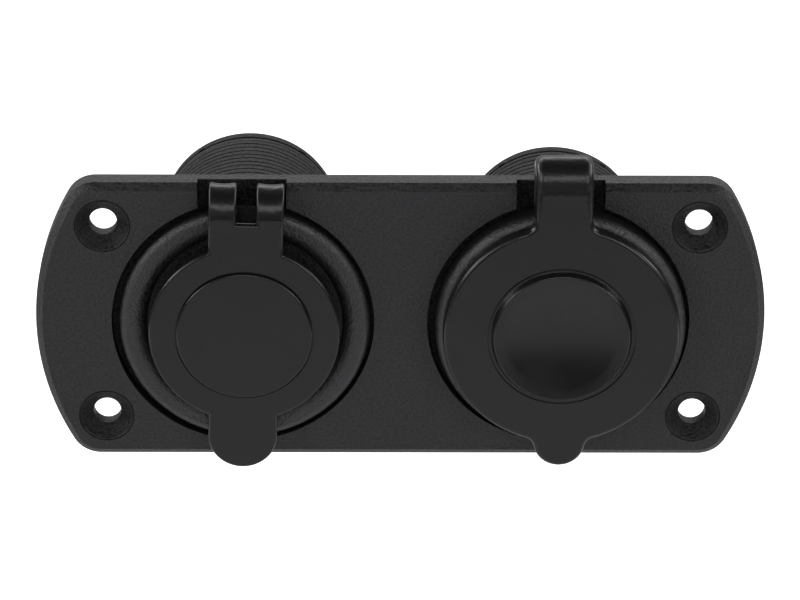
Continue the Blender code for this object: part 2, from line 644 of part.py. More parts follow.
def build_usb_electronics(seat):
    """Charger circuit behind the port face: board, coil, two capacitors, chip and light guide."""
    face_back = PLATE_FRONT + USB_RECESS_DEPTH + USB_FACE_THICKNESS
    board_start = face_back + ROUND_GAP
    rim_start = USB_BARREL_LENGTH - REAR_RIM_THICKNESS
    board_end = rim_start - BOARD_REAR_MARGIN
    half_board = BOARD_THICKNESS / 2
    top = half_board + FLAT_GAP

    board = box("usb_circuit_board", (-BOARD_WIDTH / 2, board_start, -half_board),
                (BOARD_WIDTH / 2, board_end, half_board))
    finish(board, BOARD_GREEN, seat)

    port_end = PLATE_FRONT + USB_RECESS_DEPTH + PORT_SETBACK + PORT_LENGTH
    can_y = port_end + CAPACITOR_RADIUS + 2 * ROUND_GAP
    for side, label in ((-1, "left"), (1, "right")):
        profile = [
            (0.0, 0.0),
            (CAPACITOR_RADIUS, 0.0),
            (CAPACITOR_RADIUS, CAPACITOR_HEIGHT * 0.10),
            (CAPACITOR_RADIUS * 0.92, CAPACITOR_HEIGHT * 0.15),
            (CAPACITOR_RADIUS, CAPACITOR_HEIGHT * 0.20),
            (CAPACITOR_RADIUS, CAPACITOR_HEIGHT * 0.97),
            (CAPACITOR_RADIUS * 0.93, CAPACITOR_HEIGHT),
            (0.0, CAPACITOR_HEIGHT),
        ]
        can = lathe("usb_capacitor_" + label, profile, SMALL_SEGMENTS)
        can.data.transform(Matrix.Rotation(math.radians(90), 4, "X"))
        can.data.transform(Matrix.Translation((side * CAPACITOR_SPACING / 2, can_y, top)))
        finish(can, CAN_ALUMINIUM, seat)

    half_coil = INDUCTOR_SIZE / 2
    coil_y = port_end + half_coil + 2 * ROUND_GAP
    trim = INDUCTOR_SIZE / 6
    outline = []
    for sign_x, sign_y in ((1, -1), (1, 1), (-1, 1), (-1, -1)):
        along = (sign_x * half_coil, sign_y * (half_coil - trim))
        across = (sign_x * (half_coil - trim), sign_y * half_coil)
        outline += [across, along] if sign_x * sign_y < 0 else [along, across]
    coil = prism("usb_inductor", outline, 0.0, INDUCTOR_HEIGHT)
    coil.data.transform(Matrix.Rotation(math.radians(-90), 4, "X"))
    coil.data.transform(Matrix.Translation((0.0, coil_y, -top)))
    finish(coil, FERRITE, seat)

    chip_left = half_coil + 2 * ROUND_GAP
    chip = box("usb_regulator_chip", (chip_left, coil_y - CHIP_LENGTH / 2, -top - CHIP_HEIGHT),
               (chip_left + CHIP_WIDTH, coil_y + CHIP_LENGTH / 2, -top))
    finish(chip, FERRITE, seat)

    face_front = PLATE_FRONT + USB_RECESS_DEPTH
    foot = LIGHT_HEIGHT / 2
    guide = box("usb_light_guide", (LIGHT_OFFSET - foot, board_start, top),
                (LIGHT_OFFSET + foot, board_start + LIGHT_HEIGHT, top + LIGHT_HEIGHT))
    rod = disc("rod", LIGHT_RADIUS, face_front - PORT_SETBACK, board_start + foot,
               (LIGHT_OFFSET, light_centre_z()), 12)
    join(guide, rod)
    finish(guide, CLEAR_PLASTIC, seat)

    tip = USB_BARREL_LENGTH + BLADE_REACH
    for side, label in ((-1, "negative"), (1, "positive")):
        centre = side * USB_BLADE_SPACING / 2
        made = blade("usb_blade_" + label, centre, board_end - USB_BLADE_OVERLAP, tip)
        fork = half_board + FLAT_GAP
        low = (centre - BLADE_WIDTH, board_end - 2 * USB_BLADE_OVERLAP, -fork)
        high = (centre + BLADE_WIDTH, board_end + FLAT_GAP, fork)
        cut(made, box("fork", low, high))
        finish(made, BRASS, seat)


def usb_cap_outline(bend_start, bend_radius):
    """Flat outline of the left cap: disc, thumb tab below, neck and two straps above."""
    half_neck = USB_STRAP_SLOT / 2 + USB_STRAP_WIDTH
    half_tab = USB_TAB_WIDTH / 2
    neck_lean = math.degrees(math.acos(half_neck / USB_CAP_RADIUS))
    tab_lean = math.degrees(math.acos(half_tab / USB_CAP_RADIUS))
    strap_end = bend_start + bend_radius * (math.pi / 2 - FLAT_GAP / bend_radius)
    tab_centre = (0.0, half_tab - USB_TAB_REACH)
    right = arc((0.0, 0.0), USB_CAP_RADIUS, -tab_lean, neck_lean, 22)
    right += [
        (half_neck, strap_end),
        (USB_STRAP_SLOT / 2, strap_end),
        (USB_STRAP_SLOT / 2, USB_SLOT_BOTTOM),
    ]
    left = [(-x, z) for x, z in reversed(right)]
    tab = arc(tab_centre, half_tab, 180, 360, 12)
    return right + left + tab


def build_usb_cap(seat):
    front = PLATE_FRONT - USB_CAP_FRONT
    back = front + USB_CAP_THICKNESS
    bend_start = USB_STRAP_TOP - USB_STRAP_BEND
    outline = usb_cap_outline(bend_start, USB_STRAP_BEND)
    cap = slab_bent_back("usb_cap", outline, front, USB_CAP_THICKNESS, bend_start, USB_STRAP_BEND,
                         USB_CAP_EDGE, USB_STRAP_EDGE)
    middle = (front + back) / 2
    pad_front = front - USB_CAP_PAD_HEIGHT
    pad_edge = USB_CAP_PAD_HEIGHT / 3
    pad = lathe("pad", [
        (0.0, middle),
        (USB_CAP_PAD_RADIUS, middle),
        (USB_CAP_PAD_RADIUS, pad_front + pad_edge),
        (USB_CAP_PAD_RADIUS - pad_edge, pad_front),
        (0.0, pad_front),
    ], MEDIUM_SEGMENTS)
    join(cap, pad)
    dish = PLATE_FRONT - USB_CREST_HEIGHT + USB_DISH_DEPTH
    plug_radius = USB_BORE_RADIUS - USB_PLUG_CLEARANCE
    join(cap, plug_ring("plug", plug_radius, USB_PLUG_WALL, USB_PLUG_CLEARANCE, middle, dish + USB_PLUG_REACH))
    hinge = (0.0, front + USB_STRAP_BEND, USB_STRAP_TOP)
    finish(cap, BLACK_RUBBER, seat, hinge)

    inner = USB_STRAP_SLOT / 2
    outer = inner + USB_STRAP_WIDTH
    build_collar("usb_cap_collar", seat, ((-outer, -inner), (inner, outer)), hinge[1], USB_STRAP_TOP,
                 USB_CAP_THICKNESS, USB_STRAP_EDGE)


def build_power_housing(seat):
    crest = PLATE_FRONT - POWER_CREST_HEIGHT
    barrel_end = POWER_BARREL_LENGTH - REAR_RIM_THICKNESS - FLAT_GAP
    bore = WELL_RADIUS + WELL_WALL + ROUND_GAP
    seat_radius = WELL_LIP_RADIUS + ROUND_GAP
    seat_floor = WELL_LIP_BACK + FLAT_GAP
    outer_centre = (BEZEL_RADIUS - POWER_OUTER_ROUND, crest + POWER_OUTER_ROUND)
    profile = [
        (bore, seat_floor),
        (seat_radius, seat_floor),
        (seat_radius, crest),
    ]
    profile += arc(outer_centre, POWER_OUTER_ROUND, 270, 360, 4)
    profile += [
        (BEZEL_RADIUS, FLANGE_BACK),
        (BARREL_RADIUS, FLANGE_BACK),
        (BARREL_RADIUS, barrel_end),
        (bore, barrel_end),
    ]
    return finish(lathe("power_housing", profile, closed=True), BEZEL_PLASTIC, seat)


def build_well(seat):
    """Metal well: lip on the bezel, open mouth, pierced floor and two spring tabs cut in its wall."""
    outside = WELL_RADIUS + WELL_WALL
    pierced = WASHER_NECK_RADIUS + ROUND_GAP
    profile = [
        (WELL_RADIUS, WELL_LIP_FRONT),
        (WELL_LIP_RADIUS, WELL_LIP_FRONT),
        (WELL_LIP_RADIUS, WELL_LIP_BACK),
        (outside, WELL_LIP_BACK),
        (outside, WELL_FLOOR + WELL_WALL),
        (pierced, WELL_FLOOR + WELL_WALL),
        (pierced, WELL_FLOOR),
        (WELL_RADIUS, WELL_FLOOR),
    ]
    well = lathe("power_well", profile, MEDIUM_SEGMENTS, closed=True)
    tab_end = WELL_FLOOR - (WELL_FLOOR - WELL_LIP_FRONT) / 4
    tab_start = tab_end - WELL_TAB_LENGTH
    half_tab = WELL_TAB_WIDTH / 2
    for side in (-1, 1):
        near = WELL_RADIUS * 0.8 * side
        far = WELL_RADIUS * 1.2 * side
        inner, outer = min(near, far), max(near, far)
        cut(well, box("slit", (inner, tab_start, -half_tab - WELL_TAB_SLIT), (outer, tab_end, -half_tab)))
        cut(well, box("slit", (inner, tab_start, half_tab), (outer, tab_end, half_tab + WELL_TAB_SLIT)))
        cut(well, box("slit", (inner, tab_start - WELL_TAB_SLIT, -half_tab - WELL_TAB_SLIT),
                      (outer, tab_start, half_tab + WELL_TAB_SLIT)))
    return finish(well, NICKEL_STEEL, seat)


def build_power_contacts(seat):
    """Riveted centre contact, its insulating washer, and the two blades."""
    washer_front = WELL_FLOOR + WELL_WALL + FLAT_GAP
    washer_back = washer_front + WASHER_THICKNESS
    neck_front = WELL_FLOOR - WASHER_THICKNESS / 2
    shank_hole = CONTACT_SHANK_RADIUS + ROUND_GAP
    washer = lathe("power_insulating_washer", [
        (shank_hole, neck_front),
        (WASHER_NECK_RADIUS, neck_front),
        (WASHER_NECK_RADIUS, washer_front),
        (WASHER_RADIUS, washer_front),
        (WASHER_RADIUS, washer_back),
        (shank_hole, washer_back),
    ], SMALL_SEGMENTS, closed=True)
    finish(washer, PHENOLIC, seat)

    foot_start = washer_back + FLAT_GAP
    foot_end = foot_start + BLADE_THICKNESS
    head_back = neck_front - FLAT_GAP
    tail_start = foot_end + FLAT_GAP
    tail_end = tail_start + CONTACT_TAIL_HEIGHT
    contact = lathe("power_centre_contact", [
        (0.0, head_back - CONTACT_HEAD_HEIGHT),
        (CONTACT_HEAD_RADIUS * 0.55, head_back - CONTACT_HEAD_HEIGHT * 0.88),
        (CONTACT_HEAD_RADIUS * 0.88, head_back - CONTACT_HEAD_HEIGHT * 0.55),
        (CONTACT_HEAD_RADIUS, head_back),
        (CONTACT_SHANK_RADIUS, head_back),
        (CONTACT_SHANK_RADIUS, tail_start),
        (CONTACT_TAIL_RADIUS, tail_start),
        (CONTACT_TAIL_RADIUS * 0.8, tail_end),
        (0.0, tail_end),
    ], SMALL_SEGMENTS)
    finish(contact, BRASS, seat)

    half = BLADE_WIDTH / 2
    tip = POWER_BARREL_LENGTH + BLADE_REACH
    plus = blade("power_blade_positive", POWER_PLUS_OFFSET, foot_start, tip)
    foot = box("foot", (-half, foot_start, -half * 0.96), (POWER_PLUS_OFFSET, foot_end, half * 0.96))
    join(plus, foot)
    cut(plus, disc("rivet_hole", shank_hole, foot_start - OVERSHOOT, foot_end + OVERSHOOT))
    finish(plus, BRASS, seat)

    minus = blade("power_blade_negative", -POWER_MINUS_OFFSET, washer_front, tip)
    foot = box("foot", (-POWER_MINUS_OFFSET - POWER_MINUS_FOOT, washer_front, -half * 0.7),
               (-POWER_MINUS_OFFSET, washer_front + BLADE_THICKNESS, half * 0.7))
    join(minus, foot)
    finish(minus, BRASS, seat)


def blend_corner(centre_radius, width, blend):
    """Where a concave arc of radius blend meets a disc and an upright side at x = width."""
    centre_x = width + blend
    centre_z = math.sqrt((centre_radius + blend) ** 2 - centre_x ** 2)
    lean = math.degrees(math.atan2(centre_z, centre_x))
    return centre_x, centre_z, lean


def power_cap_outline(bend_start, bend_radius):
    """Flat outline of the right cap: disc, rounded lip below and one wide neck above."""
    half_neck = POWER_NECK_WIDTH / 2
    neck_x, neck_z, neck_lean = blend_corner(POWER_CAP_RADIUS, half_neck, POWER_CAP_BLEND)
    strap_end = bend_start + bend_radius * (math.pi / 2 - FLAT_GAP / bend_radius)
    lip_z = POWER_LIP_RADIUS - POWER_LIP_REACH
    reach = POWER_CAP_RADIUS + POWER_CAP_BLEND
    gap = POWER_LIP_RADIUS + POWER_CAP_BLEND
    along = (reach ** 2 - gap ** 2 + lip_z ** 2) / (2 * -lip_z)
    lip_x = math.sqrt(reach ** 2 - along ** 2)
    disc_lean = math.degrees(math.atan2(-along, lip_x))
    lip_lean = math.degrees(math.atan2(-along - lip_z, lip_x))
    right = arc((0.0, lip_z), POWER_LIP_RADIUS, -90, lip_lean, 8)
    right += arc((lip_x, -along), POWER_CAP_BLEND, 180 + lip_lean, 180 + disc_lean, 4)[1:]
    right += arc((0.0, 0.0), POWER_CAP_RADIUS, disc_lean, neck_lean, 24)[1:]
    right += arc((neck_x, neck_z), POWER_CAP_BLEND, 180 + neck_lean, 180, 4)[1:]
    right.append((half_neck, strap_end))
    left = [(-x, z) for x, z in reversed(right[1:])]
    return right + left


def build_power_cap(seat):
    crest = PLATE_FRONT - POWER_CREST_HEIGHT
    front = PLATE_FRONT - POWER_CAP_FRONT
    back = crest - FLAT_GAP
    thickness = back - front
    bend_start = POWER_STRAP_TOP - POWER_STRAP_BEND
    outline = power_cap_outline(bend_start, POWER_STRAP_BEND)
    cap = slab_bent_back("power_cap", outline, front, thickness, bend_start, POWER_STRAP_BEND,
                         POWER_CAP_EDGE, POWER_STRAP_EDGE)
    middle = (front + back) / 2
    rim = front - POWER_BUTTON_HEIGHT
    edge = POWER_BUTTON_HEIGHT / 3
    step = POWER_BUTTON_FILLET / 40
    dish_radius = (POWER_BUTTON_RADIUS ** 2 + POWER_BUTTON_DISH ** 2) / (2 * POWER_BUTTON_DISH)
    profile = [(0.0, middle), (POWER_BUTTON_RADIUS + POWER_BUTTON_FILLET, middle)]
    fillet_centre = (POWER_BUTTON_RADIUS + POWER_BUTTON_FILLET, front - step - POWER_BUTTON_FILLET)
    profile += arc(fillet_centre, POWER_BUTTON_FILLET, 90, 180, 3)
    profile += arc((POWER_BUTTON_RADIUS - edge, rim + edge), edge, 0, -90, 2)
    for index in range(2, -1, -1):
        radius = (POWER_BUTTON_RADIUS - 2 * edge) * index / 2
        sag = dish_radius - math.sqrt(dish_radius ** 2 - radius ** 2)
        profile.append((radius, rim + POWER_BUTTON_DISH - sag))
    join(cap, lathe("button", profile, MEDIUM_SEGMENTS))
    plug_radius = WELL_RADIUS - POWER_PLUG_CLEARANCE
    join(cap, plug_ring("plug", plug_radius, POWER_PLUG_WALL, POWER_PLUG_CLEARANCE, middle,
                        WELL_LIP_FRONT + POWER_PLUG_REACH))
    hinge = (0.0, front + POWER_STRAP_BEND, POWER_STRAP_TOP)
    finish(cap, BLACK_RUBBER, seat, hinge)

    half = POWER_NECK_WIDTH / 2
    build_collar("power_cap_collar", seat, ((-half, half),), hinge[1], POWER_STRAP_TOP, thickness,
                 POWER_STRAP_EDGE)


def build():
    clear_scene()
    build_faceplate()

    usb_seat = make_seat("usb_seat", -1, USB_TURN_DEG)
    build_usb_housing(usb_seat)
    build_usb_cap(usb_seat)
    build_ring_nut("usb_ring_nut", usb_seat)
    for level in ("upper", "lower"):
        build_port(level, usb_seat)
    build_usb_electronics(usb_seat)
    half_spacing = USB_BLADE_SPACING / 2
    build_rear_cap("usb_rear_cap", usb_seat, USB_BARREL_LENGTH, USB_BORE_RADIUS, USB_SKIRT_LENGTH,
                   (-half_spacing, half_spacing))

    power_seat = make_seat("power_seat", 1, 0.0)
    build_power_housing(power_seat)
    build_well(power_seat)
    build_power_contacts(power_seat)
    build_power_cap(power_seat)
    build_ring_nut("power_ring_nut", power_seat)
    build_rear_cap("power_rear_cap", power_seat, POWER_BARREL_LENGTH, WELL_RADIUS + WELL_WALL + ROUND_GAP,
                   POWER_SKIRT_LENGTH, (-POWER_MINUS_OFFSET, POWER_PLUS_OFFSET))


build()
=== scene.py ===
# %% [markdown]
# A socket panel for a vehicle
#
# The object is a black plate with bowed ends that is screwed on a dashboard. It carries two round sockets:
# a USB charger socket on the left and a 12 V accessory socket on the right. Each has a rubber dust cap whose
# strap bends over the top of the plate.
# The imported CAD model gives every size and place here. This script dresses it: it makes finer shapes where
# the eye is close, and a finish for every surface.

# %% Load the frame
import json
import math

import bmesh
import bpy
from mathutils import Matrix, Vector


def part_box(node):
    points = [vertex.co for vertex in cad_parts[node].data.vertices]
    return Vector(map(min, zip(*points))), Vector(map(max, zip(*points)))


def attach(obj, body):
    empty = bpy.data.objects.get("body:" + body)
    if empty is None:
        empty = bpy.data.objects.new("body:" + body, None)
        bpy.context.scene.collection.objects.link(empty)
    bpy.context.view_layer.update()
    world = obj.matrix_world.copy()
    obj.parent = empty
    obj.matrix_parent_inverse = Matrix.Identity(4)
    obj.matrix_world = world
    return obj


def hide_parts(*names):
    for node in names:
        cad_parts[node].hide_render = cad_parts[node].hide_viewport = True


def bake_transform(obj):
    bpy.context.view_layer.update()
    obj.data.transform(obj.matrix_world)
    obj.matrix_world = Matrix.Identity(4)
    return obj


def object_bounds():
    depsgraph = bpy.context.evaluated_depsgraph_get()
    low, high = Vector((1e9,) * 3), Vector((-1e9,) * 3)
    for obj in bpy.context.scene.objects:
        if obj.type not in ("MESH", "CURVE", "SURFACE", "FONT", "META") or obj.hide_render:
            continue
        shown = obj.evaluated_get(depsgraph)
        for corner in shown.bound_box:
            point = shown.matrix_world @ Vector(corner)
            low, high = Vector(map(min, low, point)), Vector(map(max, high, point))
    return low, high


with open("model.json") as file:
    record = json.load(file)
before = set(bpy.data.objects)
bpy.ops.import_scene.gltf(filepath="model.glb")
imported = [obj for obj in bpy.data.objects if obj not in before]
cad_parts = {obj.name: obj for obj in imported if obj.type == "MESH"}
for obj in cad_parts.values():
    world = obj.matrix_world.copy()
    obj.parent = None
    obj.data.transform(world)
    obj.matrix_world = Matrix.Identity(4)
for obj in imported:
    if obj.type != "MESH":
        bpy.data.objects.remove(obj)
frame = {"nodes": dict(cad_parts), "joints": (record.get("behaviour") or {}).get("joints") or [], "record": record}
cad_low, cad_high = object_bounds()
nodes = frame["nodes"]
print("CAD box in mm:", [round(1000 * (high - low), 1) for low, high in zip(cad_low, cad_high)])

# %% [markdown]
# Places first
#
# A beginner might type the same positions again. Here they are read from the CAD nodes instead, so that
# a new pack with other sizes still fits. Each socket is made about its own barrel axis, which runs along Y,
# and is then put in its pocket by one matrix. The left socket is turned a little in its hole, as the hinge
# axis of its cap shows.

# %% Measure the sockets
MM = 0.001
plate_low, plate_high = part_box("faceplate")
PLATE_FRONT = plate_low[1]
PLATE_LENGTH = plate_high[0] - plate_low[0]
PLATE_HEIGHT = plate_high[2] - plate_low[2]
SOCKET_PITCH = 48.8 * MM
SCREW_X = PLATE_LENGTH / 2 - 10.65 * MM
SCREW_Z = PLATE_HEIGHT / 2 - 6.9 * MM
hinges = {joint["child"]: joint for joint in frame["joints"]}


def seat_of(housing, cover):
    """The matrix that places a socket: the middle of its housing, turned as its hinge axis is."""
    low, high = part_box(housing)
    axis = Vector(hinges[cover]["axis"])
    turn = math.atan2(axis.z, -axis.x)
    middle = Vector(((low[0] + high[0]) / 2, 0.0, (low[2] + high[2]) / 2))
    return Matrix.Translation(middle) @ Matrix.Rotation(turn, 4, "Y")


USB_SEAT = seat_of("usb_housing", "usb_cover")
POWER_SEAT = seat_of("power_housing", "power_cover")


def hinge_of(cover, seat):
    """Where the cap bends, seen from the middle of its socket."""
    return seat.inverted() @ Vector(hinges[cover]["pos_m"])


USB_HINGE = hinge_of("usb_cover", USB_SEAT)
POWER_HINGE = hinge_of("power_cover", POWER_SEAT)
for name, seat, hinge in (("USB", USB_SEAT, USB_HINGE), ("12 V", POWER_SEAT, POWER_HINGE)):
    place = [round(1000 * value, 2) for value in seat.translation]
    bend = [round(1000 * value, 2) for value in hinge]
    print(name, "socket at", place, "mm, its cap bends at", bend, "mm")

# %% [markdown]
# The camera
#
# The photograph looks down on the panel from 24 degrees, with a long lens. A camera can be aimed with a
# constraint, but a matrix built from the viewing angles is exact and shows what an aim is: one axis back to
# the viewer, one to the right and one up, turned by a small roll.

# %% Camera
VIEW_DISTANCE = 0.640
VIEW_ELEVATION = math.radians(24.4)
VIEW_AZIMUTH = math.radians(-0.741)
VIEW_ROLL = math.radians(0.418)
VIEW_TARGET = Vector((-0.000126, PLATE_FRONT, 0.003815))
LENS_PIXELS = 4145.4
IMAGE_WIDTH = 800
SENSOR_WIDTH = 36.0


def make_camera():
    back = Vector((
        math.sin(VIEW_AZIMUTH) * math.cos(VIEW_ELEVATION),
        -math.cos(VIEW_AZIMUTH) * math.cos(VIEW_ELEVATION),
        math.sin(VIEW_ELEVATION),
    ))
    aim = back.to_track_quat("Z", "Y").to_matrix().to_4x4()
    camera = bpy.data.objects.new("camera", bpy.data.cameras.new("camera"))
    bpy.context.scene.collection.objects.link(camera)
    roll = Matrix.Rotation(VIEW_ROLL, 4, "Z")
    camera.matrix_world = Matrix.Translation(VIEW_TARGET + back * VIEW_DISTANCE) @ aim @ roll
    camera.data.sensor_width = SENSOR_WIDTH
    camera.data.lens = LENS_PIXELS * SENSOR_WIDTH / IMAGE_WIDTH
    camera.data.clip_start = 0.01
    camera.data.clip_end = 20.0
    return camera


bpy.context.scene.camera = make_camera()
print("lens in mm:", round(bpy.context.scene.camera.data.lens, 1))

# %% [markdown]
# Nodes in few words
#
# The background, the finishes and two of the shapes are built from nodes. Making and linking them one line
# at a time is clear but long, so one helper does both: it makes a node, sets its plain inputs and links the
# ones that are given as the socket of another node.

# %% Node helpers


def add_node(tree, kind, inputs=None, **settings):
    """Make a node; an input that is given as a socket is linked, any other value is set."""
    node = tree.nodes.new(kind)
    for name, value in settings.items():
        setattr(node, name, value)
    for key, value in (inputs or {}).items():
        if isinstance(value, bpy.types.NodeSocket):
            tree.links.new(value, node.inputs[key])
        else:
            node.inputs[key].default_value = value
    return node


def calculate(tree, operation, *values):
    """The result of a Math node on sockets or numbers."""
    return add_node(tree, "ShaderNodeMath", dict(enumerate(values)), operation=operation).outputs[0]


def object_place(tree):
    """The place of a point on its object, which turns and moves with it."""
    return tree.nodes.new("ShaderNodeTexCoord").outputs["Object"]


# %% [markdown]
# Floor, background and light
#
# Black plastic shows its shape by what it mirrors, so the light is laid out as in a product studio. Three
# soft boxes in front make the flat faces an even dark grey. A wide box and a pale wall behind the object give
# the bright lines along its upper edges, and a long box on each side lights the rims.
# The object is made to be mounted upright and has no feet, so the floor lies well below it. It is pale, and
# white only for the camera. In mirrored rays it glows by place: hardly in front, where it would wash out the
# black faces, and fully behind and at the sides, where it draws the edges. It lights nothing by itself.

# %% Stage
WHITE = (1.0, 1.0, 1.0, 1.0)
FLOOR_LEVEL = cad_low[2] - 0.45
FLOOR_RADIUS = 1.5
FLOOR_PAINT = (0.80, 0.80, 0.80, 1.0)
FLOOR_GLOW = 0.86
MIRRORED_SHARE = ((-0.70, 0.13), (-0.25, 0.02), (0.45, 0.02), (0.90, 1.0))
SIDE_GLOW = (0.75, 0.95)
scene = bpy.context.scene
scene.view_settings.view_transform = "Standard"


def make_world():
    """White to the camera, and nearly dark to everything else."""
    world = bpy.data.worlds.new("studio")
    scene.world = world
    world.use_nodes = True
    tree = world.node_tree
    tree.nodes.clear()
    ray = tree.nodes.new("ShaderNodeLightPath").outputs
    seen = add_node(tree, "ShaderNodeBackground", {"Color": WHITE, "Strength": 1.0})
    lit = add_node(tree, "ShaderNodeBackground", {"Color": (0.95, 0.97, 1.0, 1.0), "Strength": 0.03})
    mix = add_node(tree, "ShaderNodeMixShader",
                   {0: ray["Is Camera Ray"], 1: lit.outputs[0], 2: seen.outputs[0]})
    add_node(tree, "ShaderNodeOutputWorld", {"Surface": mix.outputs[0]})


def mirrored_share(tree):
    """How much of the floor's glow a mirror sees, from front to back and towards the sides."""
    split = add_node(tree, "ShaderNodeSeparateXYZ", {0: object_place(tree)}).outputs
    across = add_node(tree, "ShaderNodeMapRange",
                      {"Value": split["Y"], "From Min": -FLOOR_RADIUS, "From Max": FLOOR_RADIUS})
    share = add_node(tree, "ShaderNodeValToRGB", {"Fac": across.outputs[0]})
    stops = share.color_ramp.elements
    while len(stops) < len(MIRRORED_SHARE):
        stops.new(0.5)
    for stop, (place, value) in zip(stops, MIRRORED_SHARE):
        stop.position = (place + FLOOR_RADIUS) / (2 * FLOOR_RADIUS)
        stop.color = (value, value, value, 1.0)
    aside = calculate(tree, "ABSOLUTE", split["X"])
    beside = add_node(tree, "ShaderNodeMapRange",
                      {"Value": aside, "From Min": SIDE_GLOW[0], "From Max": SIDE_GLOW[1]})
    return calculate(tree, "MAXIMUM", share.outputs["Color"], beside.outputs[0])


def make_floor_material():
    material = bpy.data.materials.new("pale_floor")
    material.use_nodes = True
    tree = material.node_tree
    tree.nodes.clear()
    ray = tree.nodes.new("ShaderNodeLightPath").outputs
    mirrored = calculate(tree, "MULTIPLY", ray["Is Glossy Ray"], mirrored_share(tree))
    seen = calculate(tree, "MAXIMUM", ray["Is Camera Ray"], mirrored)
    paint = add_node(tree, "ShaderNodeBsdfDiffuse", {"Color": FLOOR_PAINT})
    glow = add_node(tree, "ShaderNodeEmission", {"Color": WHITE, "Strength": FLOOR_GLOW})
    both = add_node(tree, "ShaderNodeAddShader", {0: paint.outputs[0], 1: glow.outputs[0]})
    mix = add_node(tree, "ShaderNodeMixShader", {0: seen, 1: paint.outputs[0], 2: both.outputs[0]})
    add_node(tree, "ShaderNodeOutputMaterial", {"Surface": mix.outputs[0]})
    return material


def make_floor():
    bm = bmesh.new()
    bmesh.ops.create_circle(bm, cap_ends=True, segments=128, radius=FLOOR_RADIUS)
    mesh = bpy.data.meshes.new("floor")
    bm.to_mesh(mesh)
    bm.free()
    mesh.transform(Matrix.Translation((0.0, 0.0, FLOOR_LEVEL)))
    mesh.materials.append(make_floor_material())
    floor = bpy.data.objects.new("floor", mesh)
    scene.collection.objects.link(floor)


# %% Lamps


def soft_light(name, place, width, height, brightness):
    """A rectangular soft box that points at the object; brightness 1 looks white in a mirror."""
    data = bpy.data.lights.new(name, "AREA")
    data.shape = "RECTANGLE"
    data.size = width
    data.size_y = height
    data.energy = brightness * math.pi * width * height
    light = bpy.data.objects.new(name, data)
    scene.collection.objects.link(light)
    light.location = place
    light.rotation_euler = (-place).to_track_quat("-Z", "Y").to_euler()
    light.visible_camera = False


def at(azimuth, elevation, distance):
    """A place seen from the object under these angles; azimuth 0 is in front of it."""
    turn, rise = math.radians(azimuth), math.radians(elevation)
    return Vector((
        distance * math.sin(turn) * math.cos(rise),
        -distance * math.cos(turn) * math.cos(rise),
        distance * math.sin(rise),
    ))


make_world()
make_floor()
for name, place, width, height, brightness in (
    ("front_box", at(0.0, 25.0, 1.6), 0.8, 0.5, 4.0),
    ("left_box", at(-50.0, 20.0, 1.6), 0.5, 0.8, 4.7),
    ("right_box", at(40.0, 20.0, 1.6), 0.5, 0.8, 4.4),
    ("back_box", at(180.0, 37.0, 1.6), 2.2, 0.4, 4.4),
    ("back_wall", at(180.0, 5.0, 1.8), 3.6, 1.1, 0.45),
    ("left_rim", at(-102.0, 23.0, 1.6), 1.6, 0.45, 6.2),
    ("right_rim", at(102.0, 23.0, 1.6), 1.6, 0.45, 5.0),
):
    soft_light(name, place, width, height, brightness)
print("floor at", round(1000 * FLOOR_LEVEL, 2), "mm")

# %% [markdown]
# Helpers for shapes
#
# Most pieces of a socket are turned: one profile spun about the barrel axis. Others are a flat outline with
# a thickness. The helpers below make both. A bevel rounds the edges, because no moulded edge is sharp, and
# weighted normals keep the flat faces flat beside the rounded edges.

# %% Shape helpers
NO_TURN = Matrix.Identity(4)


def link_mesh(name, bm):
    """Make an object of a bmesh, with its faces turned outwards."""
    bmesh.ops.recalc_face_normals(bm, faces=bm.faces)
    mesh = bpy.data.meshes.new(name)
    bm.to_mesh(mesh)
    bm.free()
    piece = bpy.data.objects.new(name, mesh)
    scene.collection.objects.link(piece)
    return piece


def settle(piece):
    """Apply the modifiers, so that the piece is a plain mesh."""
    bpy.context.view_layer.update()
    evaluated = piece.evaluated_get(bpy.context.evaluated_depsgraph_get())
    mesh = bpy.data.meshes.new_from_object(evaluated)
    piece.modifiers.clear()
    piece.data = mesh
    return piece


def boolean(piece, tool, operation):
    modifier = piece.modifiers.new("shape", "BOOLEAN")
    modifier.object = tool
    modifier.operation = operation
    modifier.solver = "EXACT"
    settle(piece)
    bpy.data.objects.remove(tool, do_unlink=True)


def cut(piece, tool):
    boolean(piece, tool, "DIFFERENCE")


def join(piece, tool):
    boolean(piece, tool, "UNION")


def soften(piece, radius, segments=3, sharper_than=30.0):
    """Round every edge that is sharper than an angle."""
    modifier = piece.modifiers.new("soften", "BEVEL")
    modifier.width = radius
    modifier.segments = segments
    modifier.limit_method = "ANGLE"
    modifier.angle_limit = math.radians(sharper_than)
    modifier.use_clamp_overlap = True
    return settle(piece)


def smooth(piece, sharp_angle=35.0):
    """Smooth shading that keeps large flat faces flat."""
    piece.data.shade_smooth()
    piece.data.set_sharp_from_angle(angle=math.radians(sharp_angle))
    modifier = piece.modifiers.new("flat_faces", "WEIGHTED_NORMAL")
    modifier.keep_sharp = True
    modifier.weight = 80
    return settle(piece)


def arc(centre, radius, start, end, steps):
    """Points on an arc, both ends included, with angles in degrees."""
    points = []
    for step in range(steps + 1):
        angle = math.radians(start + (end - start) * step / steps)
        points.append((centre[0] + radius * math.cos(angle), centre[1] + radius * math.sin(angle)))
    return points


